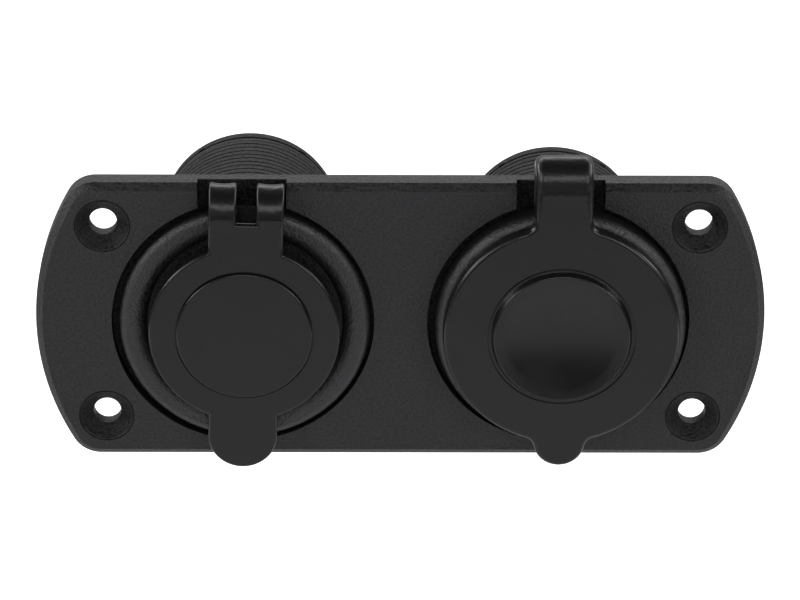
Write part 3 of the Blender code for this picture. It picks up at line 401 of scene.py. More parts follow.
def turned(name, profile, segments=160, closed=False):
    """Spin a (radius, depth) profile about the Y axis."""
    bm = bmesh.new()
    verts = [bm.verts.new((radius, depth, 0.0)) for radius, depth in profile]
    pairs = list(zip(verts, verts[1:]))
    if closed:
        pairs.append((verts[-1], verts[0]))
    edges = [bm.edges.new(pair) for pair in pairs]
    bmesh.ops.spin(
        bm, geom=verts + edges, cent=(0, 0, 0), axis=(0, 1, 0), dvec=(0, 0, 0),
        angle=math.tau, steps=segments, use_merge=True, use_duplicate=False,
    )
    bmesh.ops.remove_doubles(bm, verts=bm.verts, dist=1e-7)
    return link_mesh(name, bm)


def plate(name, outline, start, end):
    """A flat piece: an (x, z) outline from one depth to another."""
    bm = bmesh.new()
    face = bm.faces.new([bm.verts.new((x, start, z)) for x, z in outline])
    grown = bmesh.ops.extrude_face_region(bm, geom=[face])
    moved = [item for item in grown["geom"] if isinstance(item, bmesh.types.BMVert)]
    bmesh.ops.translate(bm, verts=moved, vec=(0, end - start, 0))
    return link_mesh(name, bm)


def block(name, low, high):
    outline = [(low[0], low[2]), (high[0], low[2]), (high[0], high[2]), (low[0], high[2])]
    return plate(name, outline, low[1], high[1])


def round_bar(name, radius, start, end, centre=(0.0, 0.0), segments=96):
    return plate(name, arc(centre, radius, 0.0, 360.0, segments)[:-1], start, end)


def dress(piece, material, body, seat=NO_TURN, stands_for=()):
    """Give a finished piece its place, its finish and the CAD body that it moves with, if it is only one."""
    piece.data.transform(seat)
    piece.data.materials.clear()
    piece.data.materials.append(material)
    if body:
        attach(piece, body)
    if stands_for:
        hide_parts(*stands_for)
    return piece


# %% [markdown]
# Finishes
#
# Three black finishes lie side by side and must not look alike. The plate has a fine spark-eroded grain that
# glitters a little. The bezels have the same grain with more shine. The caps are smooth rubber with a broad,
# soft gloss. Each is one Principled shader whose bump and roughness come from noise at the real grain size.
# Sunk places, such as the pockets, the notches, the bezels' dishes and the screw cones, get less gloss: this is
# painted shade, for the shade that falls into them. A mask finds them by their place on the object, so it moves
# with the object.

# %% Material helpers


def new_material(name, colour, roughness, metallic=0.0, specular=0.5, gloss_tint=(1.0, 1.0, 1.0)):
    """A Principled shader with plain values, over which patterns can be laid."""
    material = bpy.data.materials.new(name)
    material.use_nodes = True
    levels = {
        "Base Color": (*colour, 1.0),
        "Roughness": roughness,
        "Metallic": metallic,
        "Specular IOR Level": specular,
        "Specular Tint": (*gloss_tint, 1.0),
    }
    for socket, value in levels.items():
        shader_of(material).inputs[socket].default_value = value
    return material


def shader_of(material):
    return material.node_tree.nodes["Principled BSDF"]


def drive(material, socket, source):
    """Let a pattern set one of the shader's values."""
    material.node_tree.links.new(source, shader_of(material).inputs[socket])


def noise_on(material, grain, detail=2.0, rough=0.5, stretch=None):
    """Noise on Object coordinates; grain is the size of one spot in metres."""
    tree = material.node_tree
    place = object_place(tree)
    if stretch:
        place = add_node(tree, "ShaderNodeMapping", {"Vector": place, "Scale": stretch}).outputs[0]
    values = {"Vector": place, "Scale": 1.0 / grain, "Detail": detail, "Roughness": rough}
    return add_node(tree, "ShaderNodeTexNoise", values).outputs[0]


def ranged(material, source, low, high, from_low=0.3, from_high=0.7):
    """Stretch the part of a pattern between two values to two others."""
    values = {"Value": source, "From Min": from_low, "From Max": from_high, "To Min": low, "To Max": high}
    return add_node(material.node_tree, "ShaderNodeMapRange", values).outputs[0]


def roughen(material, source, low, high):
    drive(material, "Roughness", ranged(material, source, low, high))


def add_colour(material, source, dark, light, from_low=0.3, from_high=0.7):
    ramp = add_node(material.node_tree, "ShaderNodeValToRGB", {"Fac": source})
    for stop, place, colour in zip(ramp.color_ramp.elements, (from_low, from_high), (dark, light)):
        stop.position = place
        stop.color = (*colour, 1.0)
    drive(material, "Base Color", ramp.outputs["Color"])


def add_bump(material, source, height):
    values = {"Height": source, "Distance": height, "Strength": 1.0}
    drive(material, "Normal", add_node(material.node_tree, "ShaderNodeBump", values).outputs["Normal"])


class PositionMask:
    """Where a point lies on the object. A comparison gives 1 where it holds and 0 elsewhere."""

    def __init__(self, material):
        self.tree = material.node_tree
        split = add_node(self.tree, "ShaderNodeSeparateXYZ", {0: object_place(self.tree)})
        self.x, self.y, self.z = split.outputs
        across = self.math("ABSOLUTE", self.x)
        self.aside = self.math("ABSOLUTE", self.math("SUBTRACT", across, SOCKET_PITCH / 2))
        self.from_axis = self.length(self.aside, self.z)
        beyond = self.math("SUBTRACT", across, SCREW_X)
        above = self.math("SUBTRACT", self.math("ABSOLUTE", self.z), SCREW_Z)
        self.from_screw = self.length(beyond, above)

    def math(self, operation, *values):
        return calculate(self.tree, operation, *values)

    def length(self, first, second):
        squares = self.math("ADD", self.both(first, first), self.both(second, second))
        return self.math("SQRT", squares)

    def less(self, value, limit):
        return self.math("LESS_THAN", value, limit)

    def more(self, value, limit):
        return self.math("GREATER_THAN", value, limit)

    def both(self, first, second):
        return self.math("MULTIPLY", first, second)

    def either(self, first, second):
        return self.math("MAXIMUM", first, second)


def paint_shade_by_gloss(material, gloss, place, painted_shade):
    """Paint shade: take a share of the gloss away where the mask says so."""
    drive(material, "Specular IOR Level", place.math("SUBTRACT", gloss, painted_shade))


# %% The black plastics
PLATE_GLOSS = 0.54
BEZEL_GLOSS = 0.80
WARM_GLOSS = (1.0, 0.96, 1.0)
DEEPEST_BLACK = (0.003, 0.0029, 0.0033)
# How far the painted shade reaches in the sunk places of the plate and the bezels.
SUNK_RADIUS = 20.6 * MM
SUNK_HALF_NOTCH = 6.95 * MM
SUNK_CONE_RADIUS = 4.3 * MM
SUNK_BEZEL_RADIUS = 15.7 * MM


def make_plate_plastic():
    black = (0.011, 0.0108, 0.0116)
    material = new_material("grained_black_plastic", black, 0.50, 0.0, PLATE_GLOSS, WARM_GLOSS)
    grain = noise_on(material, 0.42 * MM, 2.0, 0.6)
    roughen(material, grain, 0.34, 0.68)
    add_colour(material, grain, DEEPEST_BLACK, (0.020, 0.0194, 0.0208), 0.40, 0.60)
    add_bump(material, grain, 0.22 * MM)
    # Painted shade: the pockets, the notches and the screw cones lose gloss, so they look as dark as the shade in
    # them.
    place = PositionMask(material)
    in_notch = place.both(place.less(place.aside, SUNK_HALF_NOTCH), place.more(place.z, 0.0))
    below_front = place.more(place.y, PLATE_FRONT + 0.5 * MM)
    below_top = place.less(place.z, PLATE_HEIGHT / 2 - 0.15 * MM)
    near_socket = place.either(place.less(place.from_axis, SUNK_RADIUS), in_notch)
    pocket = place.both(near_socket, place.both(below_front, below_top))
    in_cone = place.more(place.y, PLATE_FRONT + 0.15 * MM)
    cone = place.both(place.less(place.from_screw, SUNK_CONE_RADIUS), in_cone)
    painted_shade = place.either(place.both(pocket, 0.42), place.both(cone, 0.22))
    paint_shade_by_gloss(material, PLATE_GLOSS, place, place.both(painted_shade, place.less(place.y, -0.2 * MM)))
    return material


def make_bezel_plastic():
    black = (0.010, 0.0098, 0.0106)
    material = new_material("bezel_black_plastic", black, 0.38, 0.0, BEZEL_GLOSS, WARM_GLOSS)
    grain = noise_on(material, 0.38 * MM, 2.0, 0.6)
    roughen(material, grain, 0.28, 0.50)
    add_colour(material, grain, DEEPEST_BLACK, (0.015, 0.0146, 0.0156), 0.38, 0.62)
    add_bump(material, grain, 0.17 * MM)
    # Painted shade: the dish inside the crest loses gloss, so it looks as dark as the shade under the cap.
    place = PositionMask(material)
    below_crest = place.more(place.y, PLATE_FRONT - 0.5 * MM)
    inside = place.both(place.less(place.from_axis, SUNK_BEZEL_RADIUS), below_crest)
    paint_shade_by_gloss(material, BEZEL_GLOSS, place, place.both(inside, 0.55))
    return material


def make_thread_plastic():
    """The same moulding as the bezel, left matt and a little scratched on the thread."""
    material = new_material("thread_black_plastic", (0.020, 0.0195, 0.021), 0.55, 0.0, 0.22, (1.0, 0.95, 1.0))
    grain = noise_on(material, 0.45 * MM, 3.0, 0.65)
    roughen(material, grain, 0.34, 0.74)
    add_colour(material, grain, DEEPEST_BLACK, (0.021, 0.0204, 0.0218))
    add_bump(material, grain, 0.18 * MM)
    return material


# %% [markdown]
# The rubber of the caps is nearly smooth. Where a strap bends it has been rubbed by fingers, so the noise of
# the scuffs and a little more roughness fade in there. The two bends lie at different heights, so the place
# of the right one is lowered to that of the left one before the fade is worked out.

# %% The rubber
SCUFF_LOW = USB_HINGE.z - 7.0 * MM
SCUFF_HIGH = USB_HINGE.z - 3.4 * MM


def make_rubber():
    material = new_material("satin_black_rubber", (0.011, 0.011, 0.0115), 0.33, 0.0, 0.44, (0.97, 0.97, 1.0))
    fine = noise_on(material, 0.12 * MM, 1.0)
    cloud = noise_on(material, 9.0 * MM)
    scuffs = noise_on(material, 0.8 * MM)
    add_colour(material, cloud, (0.0075, 0.0075, 0.0080), (0.0095, 0.0095, 0.0100))
    place = PositionMask(material)
    lower = place.both(place.more(place.x, 0.0), POWER_HINGE.z - USB_HINGE.z)
    height = place.math("SUBTRACT", place.z, lower)
    rubbed = ranged(material, height, 0.0, 1.0, SCUFF_LOW, SCUFF_HIGH)
    add_bump(material, place.math("ADD", place.both(fine, 0.04), place.both(scuffs, rubbed)), 0.06 * MM)
    roughen(material, place.either(place.both(rubbed, 0.44), place.both(cloud, 0.6)), 0.255, 0.465)
    return material


PLATE_PLASTIC = make_plate_plastic()
BEZEL_PLASTIC = make_bezel_plastic()
THREAD_PLASTIC = make_thread_plastic()
CAP_RUBBER = make_rubber()

# %% The finishes inside the sockets


def make_metal(name, colour, roughness, grain, height):
    """Drawn or stamped metal: fine lines stretched along Y."""
    material = new_material(name, colour, roughness, 1.0)
    lines = noise_on(material, grain, stretch=(1.0, 0.08, 1.0))
    roughen(material, lines, roughness - 0.03, roughness + 0.05)
    add_bump(material, lines, height)
    return material


def make_spotted(name, dark, light, roughness, grain, height):
    """A plain moulded or pressed material with slightly uneven colour."""
    material = new_material(name, dark, roughness)
    spots = noise_on(material, grain, 3.0)
    add_colour(material, spots, dark, light)
    roughen(material, spots, roughness - 0.06, roughness + 0.06)
    add_bump(material, spots, height)
    return material


NICKEL = make_metal("nickel_plated_steel", (0.60, 0.58, 0.55), 0.30, 0.25 * MM, 0.0005 * MM)
BRASS = make_metal("stamped_brass", (0.74, 0.55, 0.26), 0.30, 0.25 * MM, 0.0007 * MM)
ALUMINIUM = make_metal("drawn_aluminium", (0.75, 0.75, 0.77), 0.32, 0.20 * MM, 0.0007 * MM)
WHITE_PLASTIC = make_spotted("white_contact_plastic", (0.72, 0.72, 0.69), (0.78, 0.78, 0.75), 0.45,
                             0.5 * MM, 0.004 * MM)
CLEAR_PLASTIC = make_spotted("frosted_clear_plastic", (0.66, 0.76, 0.86), (0.74, 0.84, 0.93), 0.25,
                             0.5 * MM, 0.003 * MM)
BOARD_GREEN = make_spotted("lacquered_board", (0.016, 0.13, 0.05), (0.024, 0.19, 0.07), 0.35,
                           1.2 * MM, 0.006 * MM)
FERRITE = make_spotted("dark_ferrite", (0.045, 0.045, 0.047), (0.075, 0.075, 0.078), 0.68,
                       0.3 * MM, 0.012 * MM)
PHENOLIC = make_spotted("pressed_phenolic", (0.26, 0.12, 0.055), (0.38, 0.18, 0.09), 0.55,
                        0.4 * MM, 0.010 * MM)

CAD_FINISHES = {
    "nickel_steel": NICKEL,
    "brass": BRASS,
    "can_aluminium": ALUMINIUM,
    "white_plastic": WHITE_PLASTIC,
    "clear_plastic": CLEAR_PLASTIC,
    "board_green": BOARD_GREEN,
    "ferrite": FERRITE,
    "phenolic": PHENOLIC,
    "black_plastic": PLATE_PLASTIC,
    "bezel_plastic": BEZEL_PLASTIC,
    "black_rubber": CAP_RUBBER,
}
slots = {entry["node"]: entry["material_slot"] for entry in frame["record"]["subparts"]}
for name, node in nodes.items():
    finish = CAD_FINISHES[slots[name]]
    if not node.material_slots:
        node.data.materials.append(finish)
    for place in node.material_slots:
        place.material = finish
print("finishes:", len(set(CAD_FINISHES.values())))

# %% [markdown]
# The faceplate
#
# The real plate is one moulding. Its front edge has a 45 degree chamfer, and round each socket it has a
# round pocket that is open at the top, so that the strap of the cap can pass. A plain box with a bevel would
# give round ends that are wrong: here the outline is drawn from the measured radii and the holes are cut.

# %% Faceplate
PLATE_CHAMFER = 1.05 * MM
PLATE_END_RADIUS = 41.6 * MM
PLATE_CORNER_RADIUS = 4.8 * MM
POCKET_RADIUS = 20.3 * MM
POCKET_DEPTH = 2.4 * MM
NOTCH_WIDTH = 13.6 * MM
SCREW_HOLE_RADIUS = 2.15 * MM
SCREW_HEAD_RADIUS = 4.1 * MM
THREAD_RADIUS = 14.3 * MM
NUT_RECESS_RADIUS = 19.5 * MM
NUT_RECESS_DEPTH = 0.5 * MM
ROUND_GAP = 0.3 * MM
OVERSHOOT = 1.0 * MM
EDGE_ROUND = 0.13 * MM
POCKET_FLOOR = PLATE_FRONT + POCKET_DEPTH


def plate_outline(inset):
    """Straight top and bottom, bowed ends and rounded corners."""
    end_centre = PLATE_LENGTH / 2 - PLATE_END_RADIUS
    corner_z = PLATE_HEIGHT / 2 - PLATE_CORNER_RADIUS
    corner_x = end_centre + math.sqrt((PLATE_END_RADIUS - PLATE_CORNER_RADIUS) ** 2 - corner_z ** 2)
    lean = math.degrees(math.atan2(corner_z, corner_x - end_centre))
    right = arc((end_centre, 0.0), PLATE_END_RADIUS - inset, -lean, lean, 40)
    corner = arc((corner_x, corner_z), PLATE_CORNER_RADIUS - inset, lean, 90.0, 14)[1:]
    half = right + corner
    mirrored = [(-x, z) for x, z in reversed(half)]
    below = [(x, -z) for x, z in corner]
    return half + mirrored + [(-x, z) for x, z in below] + below[::-1]


def make_faceplate():
    bm = bmesh.new()
    levels = ((0.0, 0.0), (PLATE_FRONT + PLATE_CHAMFER, 0.0), (PLATE_FRONT, PLATE_CHAMFER))
    loops = [[bm.verts.new((x, depth, z)) for x, z in plate_outline(inset)] for depth, inset in levels]
    bm.faces.new(loops[0])
    bm.faces.new(loops[-1])
    for near, far in zip(loops, loops[1:]):
        for index, vert in enumerate(near):
            after = (index + 1) % len(near)
            bm.faces.new((vert, near[after], far[after], far[index]))
    piece = link_mesh("moulded_faceplate", bm)

    front = PLATE_FRONT - OVERSHOOT
    for side in (-1, 1):
        middle = (side * SOCKET_PITCH / 2, 0.0)
        pocket = round_bar("pocket", POCKET_RADIUS, front, POCKET_FLOOR, middle, 180)
        half_notch = NOTCH_WIDTH / 2
        join(pocket, block("notch", (middle[0] - half_notch, front, 0.0),
                           (middle[0] + half_notch, POCKET_FLOOR, PLATE_HEIGHT)))
        cut(piece, pocket)
        cut(piece, round_bar("nut_recess", NUT_RECESS_RADIUS, -NUT_RECESS_DEPTH, OVERSHOOT, middle, 120))
        cut(piece, round_bar("barrel_hole", THREAD_RADIUS + ROUND_GAP, front, OVERSHOOT, middle, 120))
    cone = SCREW_HEAD_RADIUS - SCREW_HOLE_RADIUS
    profile = [
        (0.0, front),
        (SCREW_HEAD_RADIUS + OVERSHOOT, front),
        (SCREW_HOLE_RADIUS, PLATE_FRONT + cone),
        (SCREW_HOLE_RADIUS, OVERSHOOT),
        (0.0, OVERSHOOT),
    ]
    inner, outer = SCREW_HEAD_RADIUS + 0.02 * MM, SCREW_HEAD_RADIUS + 0.22 * MM
    floor = PLATE_FRONT + 0.25 * MM
    ring_profile = [(inner, front), (outer, front), (outer, floor), (inner, floor)]
    for x in (-SCREW_X, SCREW_X):
        for z in (-SCREW_Z, SCREW_Z):
            for tool in (turned("screw_hole", profile, 72), turned("ring", ring_profile, 72, closed=True)):
                tool.data.transform(Matrix.Translation((x, 0.0, z)))
                cut(piece, tool)
    soften(piece, EDGE_ROUND, 2, 30.0)
    return smooth(piece)


dress(make_faceplate(), PLATE_PLASTIC, "panel", stands_for=["faceplate"])

# %% [markdown]
# The socket housings
#
# Each housing is one moulding: a round bezel in front and a threaded barrel behind it. The bezel is turned
# from its cross-section, so its rounded crest and its dished inside come from one profile. The left bezel has
# a crest that slopes into a flat dish. The right one is taller, with a plain front under the cap.

# %% Housing profiles
FLAT_GAP = 0.2 * MM
THREAD_DEPTH = 0.65 * MM
BARREL_RADIUS = THREAD_RADIUS - THREAD_DEPTH
BEZEL_RADIUS = 19.35 * MM
COLLAR_BACK = POCKET_FLOOR - FLAT_GAP
COLLAR_FRONT = COLLAR_BACK - 0.9 * MM
FLANGE_BACK = COLLAR_FRONT - FLAT_GAP
REAR_RIM = 2.0 * MM
BAND_LENGTH = 0.8 * MM
USB_CREST = PLATE_FRONT - 1.2 * MM
USB_DISH = USB_CREST + 0.8 * MM
USB_BORE_RADIUS = 12.4 * MM
USB_FACE = PLATE_FRONT + 8.2 * MM
USB_FACE_BACK = USB_FACE + 2.0 * MM
POWER_CREST = PLATE_FRONT - 2.7 * MM
WELL_RADIUS = 10.5 * MM
WELL_OUTSIDE = 11.0 * MM
WELL_LIP_RADIUS = 12.3 * MM
WELL_SEAT = POWER_CREST + 0.9 * MM
USB_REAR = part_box("usb_rear_cap")[1][1]
POWER_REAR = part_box("power_rear_cap")[1][1]


def barrel_end(end):
    """The plain band that closes the thread at the barrel's rear."""
    band, top = end - BAND_LENGTH, THREAD_RADIUS - 0.1 * MM
    return [(BARREL_RADIUS, band - 0.3 * MM), (top, band), (top, end - 0.1 * MM), (top - 0.1 * MM, end)]


def make_usb_housing():
    """Bezel with a rounded crest, a dish inside it, the ports' face, and the barrel."""
    end = USB_REAR - REAR_RIM - FLAT_GAP
    outer_round = 1.25 * MM
    inner_round = 2.2 * MM
    crest_start = 17.1 * MM
    slope = 50.0
    fillet = 0.2 * MM
    dish = USB_CREST + 1.15 * MM
    drop = inner_round * (1.0 - math.cos(math.radians(slope)))
    foot = crest_start - inner_round * math.sin(math.radians(slope))
    foot -= (dish - USB_CREST - drop) / math.tan(math.radians(slope))
    fillet_middle = foot - fillet * math.tan(math.radians(slope / 2))
    profile = [(0.0, USB_FACE), (USB_BORE_RADIUS - 0.3 * MM, USB_FACE)]
    profile += [(USB_BORE_RADIUS, USB_FACE - 0.3 * MM), (USB_BORE_RADIUS, dish + 0.4 * MM)]
    profile += arc((USB_BORE_RADIUS + 0.4 * MM, dish + 0.4 * MM), 0.4 * MM, 180, 270, 5)[1:]
    profile += arc((fillet_middle, dish - fillet), fillet, 90, 90 - slope, 4)
    profile += arc((crest_start, USB_CREST + inner_round), inner_round, 270 - slope, 270, 9)
    profile += arc((BEZEL_RADIUS - outer_round, USB_CREST + outer_round), outer_round, 270, 360, 14)
    profile += [(BEZEL_RADIUS, FLANGE_BACK), (BARREL_RADIUS, FLANGE_BACK)] + barrel_end(end)
    profile += [(USB_BORE_RADIUS, end), (USB_BORE_RADIUS, USB_FACE_BACK), (0.0, USB_FACE_BACK)]
    piece = turned("usb_socket_moulding", profile, 200)
    for shell in ("usb_port_shell_upper", "usb_port_shell_lower"):
        low, high = port_box(shell)
        opening = block("port_opening", (low[0] - ROUND_GAP, USB_FACE - OVERSHOOT, low[2] - ROUND_GAP),
                        (high[0] + ROUND_GAP, USB_FACE_BACK + OVERSHOOT, high[2] + ROUND_GAP))
        cut(piece, opening)
    low, high = port_box("usb_light_guide")
    radius = 1.5 * MM
    middle = ((low[0] + high[0]) / 2, (low[2] + high[2]) / 2)
    cut(piece, round_bar("light_hole", radius, USB_FACE - OVERSHOOT, USB_FACE_BACK + OVERSHOOT, middle, 40))
    cut(piece, block("relief", (-1.9 * MM, USB_CREST - OVERSHOOT, 15.2 * MM),
                     (1.9 * MM, FLANGE_BACK - 0.4 * MM, BEZEL_RADIUS + OVERSHOOT)))
    return smooth(piece, 40.0)


def port_box(name):
    """The lowest and highest corner of a node, seen from the middle of the left socket."""
    inverse = USB_SEAT.inverted()
    corners = [inverse @ vert.co for vert in nodes[name].data.vertices]
    low = [min(corner[axis] for corner in corners) for axis in range(3)]
    high = [max(corner[axis] for corner in corners) for axis in range(3)]
    return low, high


def make_power_housing():
    """Taller bezel, a seat for the well's lip, and the barrel."""
    end = POWER_REAR - REAR_RIM - FLAT_GAP
    outer_round = 1.5 * MM
    bore = WELL_OUTSIDE + ROUND_GAP
    mouth = WELL_LIP_RADIUS + ROUND_GAP
    profile = [(bore, WELL_SEAT), (mouth, WELL_SEAT)]
    profile += [(mouth, POWER_CREST + 0.2 * MM), (WELL_LIP_RADIUS + 0.5 * MM, POWER_CREST)]
    profile += arc((BEZEL_RADIUS - outer_round, POWER_CREST + outer_round), outer_round, 270, 360, 14)
    profile += [(BEZEL_RADIUS, FLANGE_BACK), (BARREL_RADIUS, FLANGE_BACK)] + barrel_end(end) + [(bore, end)]
    return smooth(turned("power_socket_moulding", profile, 200, closed=True), 40.0)


dress(make_usb_housing(), BEZEL_PLASTIC, "panel", USB_SEAT, ["usb_housing"])
dress(make_power_housing(), BEZEL_PLASTIC, "panel", POWER_SEAT, ["power_housing"])
print("barrels reach", round(1000 * USB_REAR, 1), "and", round(1000 * POWER_REAR, 1), "mm behind the plate")

# %% [markdown]
# The threads
#
# A thread is one small profile that follows a long screw line. Modelling each turn by hand, or stacking
# rings, would be slow and wrong, because rings have no lead. A Geometry Nodes tree does it as the mould does:
# a spiral with a pitch, and a trapezoid swept along it. Pitch, number of turns and radius are its inputs.

# %% Geometry Nodes helpers


def new_tree(name, sizes):
    """A tree with these named inputs, and the identifier of each."""
    tree = bpy.data.node_groups.new(name, "GeometryNodeTree")
    tree.interface.new_socket("Geometry", in_out="INPUT", socket_type="NodeSocketGeometry")
    tree.interface.new_socket("Geometry", in_out="OUTPUT", socket_type="NodeSocketGeometry")
    names = {}
    for size in sizes:
        kind = {"Count": "NodeSocketInt", "Material": "NodeSocketMaterial"}.get(size, "NodeSocketFloat")
        names[size] = tree.interface.new_socket(size, in_out="INPUT", socket_type=kind).identifier
    return tree, names


def end_tree(tree, geometry, depth, material):
    """Turn what grew about Z so that it runs along Y, and make it a real mesh with its material."""
    offset = add_node(tree, "ShaderNodeCombineXYZ", {"Y": depth})
    place = add_node(tree, "GeometryNodeTransform", {
        "Geometry": geometry,
        "Translation": offset.outputs["Vector"],
        "Rotation": (math.radians(-90.0), 0.0, 0.0),
    })
    real = add_node(tree, "GeometryNodeRealizeInstances", {"Geometry": place.outputs["Geometry"]})
    paint = add_node(tree, "GeometryNodeSetMaterial",
                     {"Geometry": real.outputs["Geometry"], "Material": material})
    add_node(tree, "NodeGroupOutput", {"Geometry": paint.outputs["Geometry"]})


def grow(name, tree, names, values):
    """Run a tree on an empty mesh and keep what it makes as a plain mesh."""
    piece = bpy.data.objects.new(name, bpy.data.meshes.new(name))
    scene.collection.objects.link(piece)
    modifier = piece.modifiers.new("grow", "NODES")
    modifier.node_group = tree
    for size, value in values.items():
        modifier[names[size]] = value
    return settle(piece)


# %% Thread tree
ROOT_SHARE = 0.80
CREST_SHARE = 0.22


def make_thread_tree():
    """A spiral about Z with a trapezoid swept along it."""
    sizes = ("Pitch", "Turns", "Root radius", "Thread depth", "Start", "Material")
    tree, names = new_tree("screw_thread", sizes)
    given = tree.nodes.new("NodeGroupInput").outputs
    spiral = add_node(tree, "GeometryNodeCurveSpiral", {
        "Resolution": 72,
        "Rotations": given["Turns"],
        "Start Radius": given["Root radius"],
        "End Radius": given["Root radius"],
        "Height": calculate(tree, "MULTIPLY", given["Pitch"], given["Turns"]),
    })
    upright = add_node(tree, "GeometryNodeSetCurveNormal", {"Curve": spiral.outputs["Curve"]}, mode="Z_UP")
    profile = add_node(tree, "GeometryNodeCurvePrimitiveQuadrilateral", {
        "Bottom Width": calculate(tree, "MULTIPLY", given["Pitch"], ROOT_SHARE),
        "Top Width": calculate(tree, "MULTIPLY", given["Pitch"], CREST_SHARE),
        "Height": calculate(tree, "MULTIPLY", given["Thread depth"], 2.0),
        "Offset": 0.0,
    }, mode="TRAPEZOID")
    lying = add_node(tree, "GeometryNodeTransform", {
        "Geometry": profile.outputs["Curve"],
        "Rotation": (0.0, 0.0, math.radians(-90.0)),
    })
    sweep = add_node(tree, "GeometryNodeCurveToMesh", {
        "Curve": upright.outputs["Curve"],
        "Profile Curve": lying.outputs["Geometry"],
        "Fill Caps": True,
    })
    end_tree(tree, sweep.outputs["Mesh"], given["Start"], given["Material"])
    return tree, names


# %% Threads
THREAD_PITCH = 1.5 * MM
THREAD_TREE, THREAD_INPUTS = make_thread_tree()


def make_thread(name, rear, seat):
    run = rear - REAR_RIM - FLAT_GAP - BAND_LENGTH - POCKET_FLOOR
    piece = grow(name, THREAD_TREE, THREAD_INPUTS, {
        "Pitch": THREAD_PITCH,
        "Turns": run / THREAD_PITCH,
        "Root radius": BARREL_RADIUS,
        "Thread depth": THREAD_DEPTH,
        "Start": POCKET_FLOOR,
        "Material": THREAD_PLASTIC,
    })
    smooth(piece, 30.0)
    return dress(piece, THREAD_PLASTIC, "panel", seat)


for name, rear, seat in (
    ("usb_barrel_thread", USB_REAR, USB_SEAT),
    ("power_barrel_thread", POWER_REAR, POWER_SEAT),
):
    thread = make_thread(name, rear, seat)
    reaches = [(seat.inverted() @ vert.co).xz.length for vert in thread.data.vertices]
    print(name, "runs between radius", round(1000 * min(reaches), 2), "and", round(1000 * max(reaches), 2),
          "mm,", len(thread.data.polygons), "faces")

# %% [markdown]
# The ring nuts and the rear caps
#
# Behind the plate a flanged nut holds each socket. Its grip ribs are one rib repeated about the axis, which
# is again work for Geometry Nodes: points on a circle, an instance on each. The rear cap closes the barrel
# with a rim as wide as the thread, and lets the blades out through two slots.

# %% Ring nuts
NUT_RADIUS = 17.0 * MM
NUT_FLANGE_RADIUS = 18.9 * MM
NUT_RIB_REACH = 18.1 * MM
NUT_RIB_COUNT = 10


def make_rib_tree():
    """Ribs with round backs, set on a circle about Z."""
    sizes = ("Count", "Circle radius", "Rib radius", "Rib length", "Middle", "Material")
    tree, names = new_tree("grip_ribs", sizes)
    given = tree.nodes.new("NodeGroupInput").outputs
    circle = add_node(tree, "GeometryNodeMeshCircle",
                      {"Vertices": given["Count"], "Radius": given["Circle radius"]})
    rib = add_node(tree, "GeometryNodeMeshCylinder",
                   {"Vertices": 28, "Radius": given["Rib radius"], "Depth": given["Rib length"]})
    ribs = add_node(tree, "GeometryNodeInstanceOnPoints",
                    {"Points": circle.outputs["Mesh"], "Instance": rib.outputs["Mesh"]})
    end_tree(tree, ribs.outputs["Instances"], given["Middle"], given["Material"])
    return tree, names


RIB_TREE, RIB_INPUTS = make_rib_tree()


def make_ring_nut(name, node, seat):
    low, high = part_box(node)
    start, end = low[1], high[1]
    bore = BARREL_RADIUS + ROUND_GAP
    flange = start + 1.4 * MM
    round_off = 0.35 * MM
    profile = [(bore, start + round_off), (bore + round_off, start)]
    profile += arc((NUT_FLANGE_RADIUS - round_off, start + round_off), round_off, 270, 360, 4)
    profile += arc((NUT_FLANGE_RADIUS - round_off, flange - round_off), round_off, 0, 90, 4)
    profile += arc((NUT_RADIUS + round_off, flange + round_off), round_off, 270, 180, 4)
    profile += arc((NUT_RADIUS - round_off, end - round_off), round_off, 0, 90, 4)
    profile += [(bore + round_off, end), (bore, end - round_off)]
    nut = turned(name, profile, 160, closed=True)
    smooth(nut, 50.0)
    rib_radius = 1.5 * MM
    ribs = grow(name + "_ribs", RIB_TREE, RIB_INPUTS, {
        "Count": NUT_RIB_COUNT,
        "Circle radius": NUT_RIB_REACH - rib_radius,
        "Rib radius": rib_radius,
        "Rib length": end - flange - 2 * round_off,
        "Middle": (end + flange) / 2 - round_off,
        "Material": THREAD_PLASTIC,
    })
    soften(ribs, round_off, 3, 60.0)
    smooth(ribs)
    dress(nut, THREAD_PLASTIC, "panel", seat, [node])
    dress(ribs, THREAD_PLASTIC, "panel", seat)


make_ring_nut("usb_flanged_nut", "usb_ring_nut", USB_SEAT)
make_ring_nut("power_flanged_nut", "power_ring_nut", POWER_SEAT)

# %% Rear caps
BLADE_WIDTH = 6.3 * MM
BLADE_THICKNESS = 0.8 * MM
SNAP_ANGLES = (35.0, 145.0, 215.0, 325.0)
SIGN_HEIGHT = 5.2 * MM


def raised_sign(name, centre, depth, positive):
    """A plus or a minus as a low raised bar on the rear cap."""
    half, thin, height = 1.3 * MM, 0.3 * MM, 0.25 * MM
    low, high = depth - 0.2 * MM, depth + height

    def bar(title, across, upwards):
        return block(title, (centre - across, low, SIGN_HEIGHT - upwards),
                     (centre + across, high, SIGN_HEIGHT + upwards))

    sign = bar(name, half, thin)
    if positive:
        join(sign, bar("upright", thin, half))
    return sign


